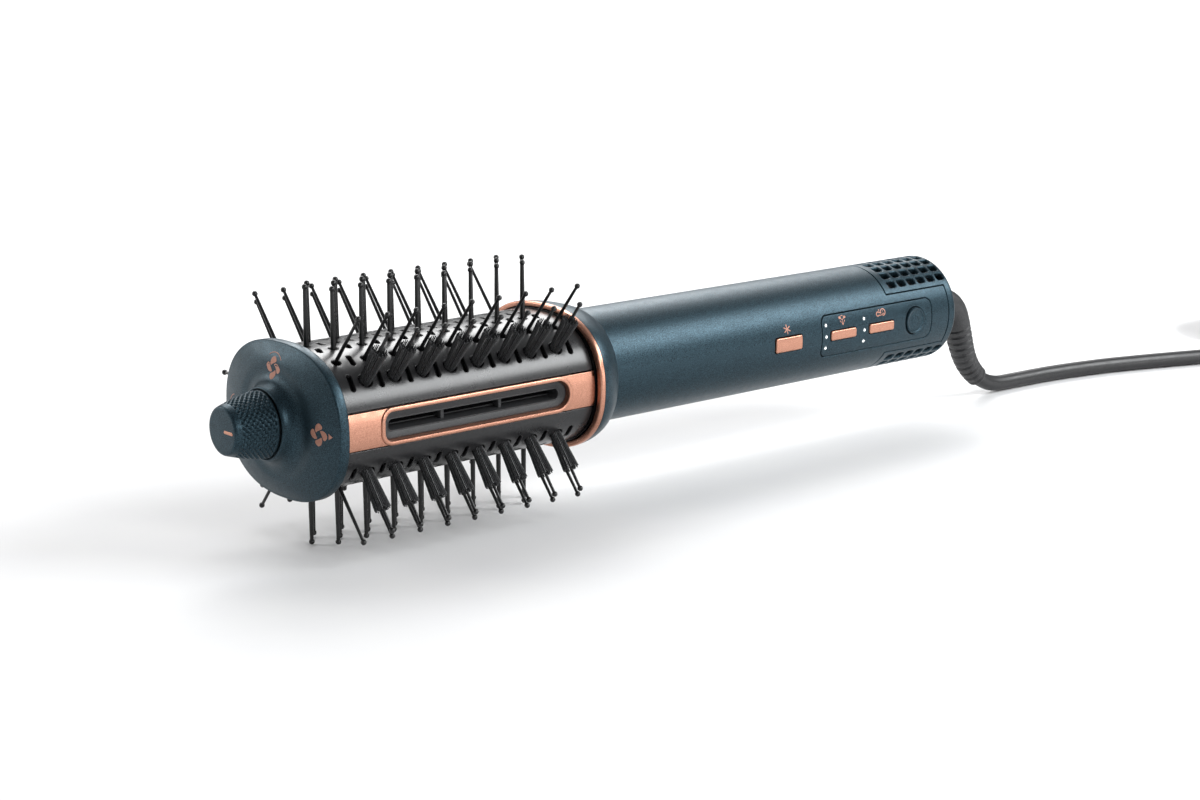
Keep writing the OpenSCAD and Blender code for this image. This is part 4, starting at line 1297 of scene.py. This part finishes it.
def add_buttons():
    pillow = [(0.62, 0.0, 0), (0.42, -0.03, 15), (0.2, -0.12, 42), (0.06, -0.26, 66), (0.0, -0.42, 88)]
    for name, spec, body, node in (("bar_cool_shot", COOL_SHOT, "cool_shot_key", "cool_shot_button"),
                                   ("bar_temperature", TEMPERATURE, "temperature_key", "temperature_button"),
                                   ("bar_speed", SPEED, "speed_key", "speed_button")):
        outline = placed(round_rect(spec[1], spec[2], 0.85, 1.2, 0.2), spec[0], 0)
        made = shell(HANDLE, outline, [], 2.9, 1.2, edge=pillow, lift=0.5)
        add_shell(name, made, "copper_trim", body, [node])
    x, r = POWER
    profile = [(-16.0, 6.0), (-16.7, 6.0), (-16.7, r), (-20.05, r), (-20.25, r - 0.12), (-20.32, r - 0.35),
               (-20.3, r - 0.6), (-20.1, r - 0.85), (-20.0, r - 1.2), (-20.06, 2.6), (-20.08, 1.2),
               (-20.08, 0.4)]
    t = full_turn(96)
    rings = [xyz(x + rr * np.cos(t), y, rr * np.sin(t)) for y, rr in profile]
    add_piece("power_key_top", *loft(rings), "teal_shell", "power_key", ["power_button"])
    symbol = [arc_band(1.75, 0.34, 125, 415, 30), stroke((0, 0.6), (0, 2.3), 0.34)]
    add_print("power_symbol", FlatSide(-20.07), x, 0, symbol, 0.05, 0.15, 0.5, "teal_shell", "power_key",
              None)
    cores, lenses = [], []
    core = [(-0.6, 0.1), (-0.6, 0.36), (-0.04, 0.36), (0.02, 0.28), (0.05, 0.1)]
    lens = [(-2.2, 0.38), (-2.2, 0.74), (-0.12, 0.74), (-0.04, 0.68), (0.0, 0.55), (0.0, 0.38)]
    around = full_turn(24)
    for lx in LIGHT_X:
        for k in (-1, 0, 1):
            base, _, normal = HANDLE.basis(np.array([lx]), np.array([k * LIGHT_RISE]))
            up = np.cross(normal[0], (1.0, 0, 0))
            for made, profile in ((cores, core), (lenses, lens)):
                rings = [base[0] + normal[0] * h + r * (np.cos(around)[:, None] * np.array([1.0, 0, 0])
                                                        + np.sin(around)[:, None] * up) for h, r in profile]
                made.append(loft(rings[::-1], loop=made is lenses))
    add_piece("lamp_cores", *joined(cores), "light_white", replaces=["status_lights"])
    add_piece("lamp_lenses", *joined(lenses), "light_white", material=LENS)


def blob(x, y, rx, ry):
    """A filled oval as a polygon."""
    return xyz(x + rx * np.cos(full_turn(14)), y + ry * np.sin(full_turn(14)))


def add_handle_prints():
    flake = []
    for k in range(3):
        a = math.radians(60 * k + 35)
        flake.append(stroke((-1.75 * math.cos(a), -1.75 * math.sin(a)),
                            (1.75 * math.cos(a), 1.75 * math.sin(a)), 0.42))
    add_print("print_cool", HANDLE, 204.4, 5.45, flake)
    drops = [blob(-1.25, 0.9, 0.62, 0.5), blob(1.25, 0.9, 0.62, 0.5), blob(0.1, -1.4, 0.42, 0.58),
             arc_band(0.65, 0.28, 35, 145, 8) + np.array([0, 0.95]), stroke((-0.85, 0.55), (0, 0.0), 0.3),
             stroke((0.85, 0.55), (0, 0.0), 0.3), stroke((0, 0.1), (0, -0.8), 0.26),
             stroke((-1.25, -0.2), (-0.7, -0.95), 0.32), stroke((1.25, -0.2), (0.75, -0.95), 0.32)]
    add_print("print_heat", HANDLE, 233.4, 5.35, drops)
    blower = [arc_band(0.78, 0.42, 20, 340, 18) + np.array([-1.65, -0.35]),
              arc_band(1.25, 0.4, -100, 200, 24) + np.array([1.15, 0.1]),
              arc_band(0.42, 0.3, 0, 350, 14) + np.array([1.3, -0.75]), blob(1.05, 0.5, 0.22, 0.2),
              stroke((-1.3, 0.4), (0.3, -0.15), 0.42), stroke((-1.5, -1.05), (0.5, -0.85), 0.3),
              blob(-0.85, 1.1, 0.34, 0.28)]
    add_print("print_speed", HANDLE, 254.4, 5.4, blower)


# ---------------------------------------------------------------- swivel


def add_swivel():
    """Collar in the socket, elbow, and ribbed strain relief down to the lead."""
    exit_x, exit_z = 335.09, -33.74
    turn, bend, fall = math.radians(69.7), 11.0, math.radians(35.0)

    def lower_arc(a):
        """The last bend, from the steep run to the lead's own slope."""
        return (exit_x - 28 * (math.sin(a) - math.sin(fall)), exit_z + 28 * (math.cos(fall) - math.cos(a)))

    low_x, low_z = lower_arc(turn)
    elbow_z = -bend * (1 - math.cos(turn))
    elbow_x = low_x - (elbow_z - low_z) / math.tan(turn)
    arc_x = elbow_x - bend * math.sin(turn)
    line = [(298.6, 0.0)] + [(298.6 + t * (arc_x - 298.6), 0.0) for t in (0.2, 0.4, 0.6, 0.8, 1.0)]
    line += [(arc_x + bend * math.sin(turn * t), -bend * (1 - math.cos(turn * t)))
             for t in np.linspace(0, 1, 15)[1:]]
    line += [(elbow_x + t * (low_x - elbow_x), elbow_z + t * (low_z - elbow_z)) for t in (0.33, 0.66, 1.0)]
    line += [lower_arc(turn + (fall - turn) * t) for t in np.linspace(0, 1, 12)[1:]]
    line = np.array(line)
    length = np.concatenate([[0], np.cumsum(np.linalg.norm(np.diff(line, axis=0), axis=1))])
    total = length[-1]
    ribs_from = total * 0.5
    at = sorted(set(np.round(np.concatenate([
        np.linspace(0, ribs_from, 40), np.arange(ribs_from, total - 0.4, 0.28), [total - 0.25, total]]), 3)))
    path, radii = [], []
    for d in at:
        path.append((np.interp(d, length, line[:, 0]), 0.0, np.interp(d, length, line[:, 1])))
        r = 5.55 if d < ribs_from else 5.55 - 1.3 * (d - ribs_from) / (total - ribs_from)
        if d >= ribs_from + 1 and d < total - 0.8:
            phase = ((d - ribs_from - 1) / 2.8) % 1
            groove = 0.55 * ease(min(phase, 1 - phase) / 0.18 - 0.3) if phase else 0.0
            r -= 0.55 - groove
        radii.append(r)
    radii[-1] -= 0.25
    made = tube_along(path, radii, 40)
    add_piece("strain_relief_boot", *made, "boot_rubber", "cord_swivel", ["strain_relief"], sharp=45)
    hub = turned([(297.9, 3.2), (297.9, 8.3), (298.15, 8.7), (298.7, 8.75), (299.3, 8.4), (299.9, 7.2),
                  (300.6, 6.2), (301.4, 5.7), (301.4, 3.2)], 96, loop=True)
    add_piece("swivel_hub", *hub, "boot_rubber", "cord_swivel")


# ---------------------------------------------------------------- build

add_camera()
lead, lead_path = add_lead()
strap = add_tie()
plug, contacts = add_plug()
add_studio()
cap_face = add_cap()
add_knob()
add_cap_prints(cap_face)
add_covers()
add_bristles()
add_tufts()
add_nozzle_side()
add_ring_and_collar()
add_handle()
add_rear()
add_buttons()
add_handle_prints()
add_swivel()
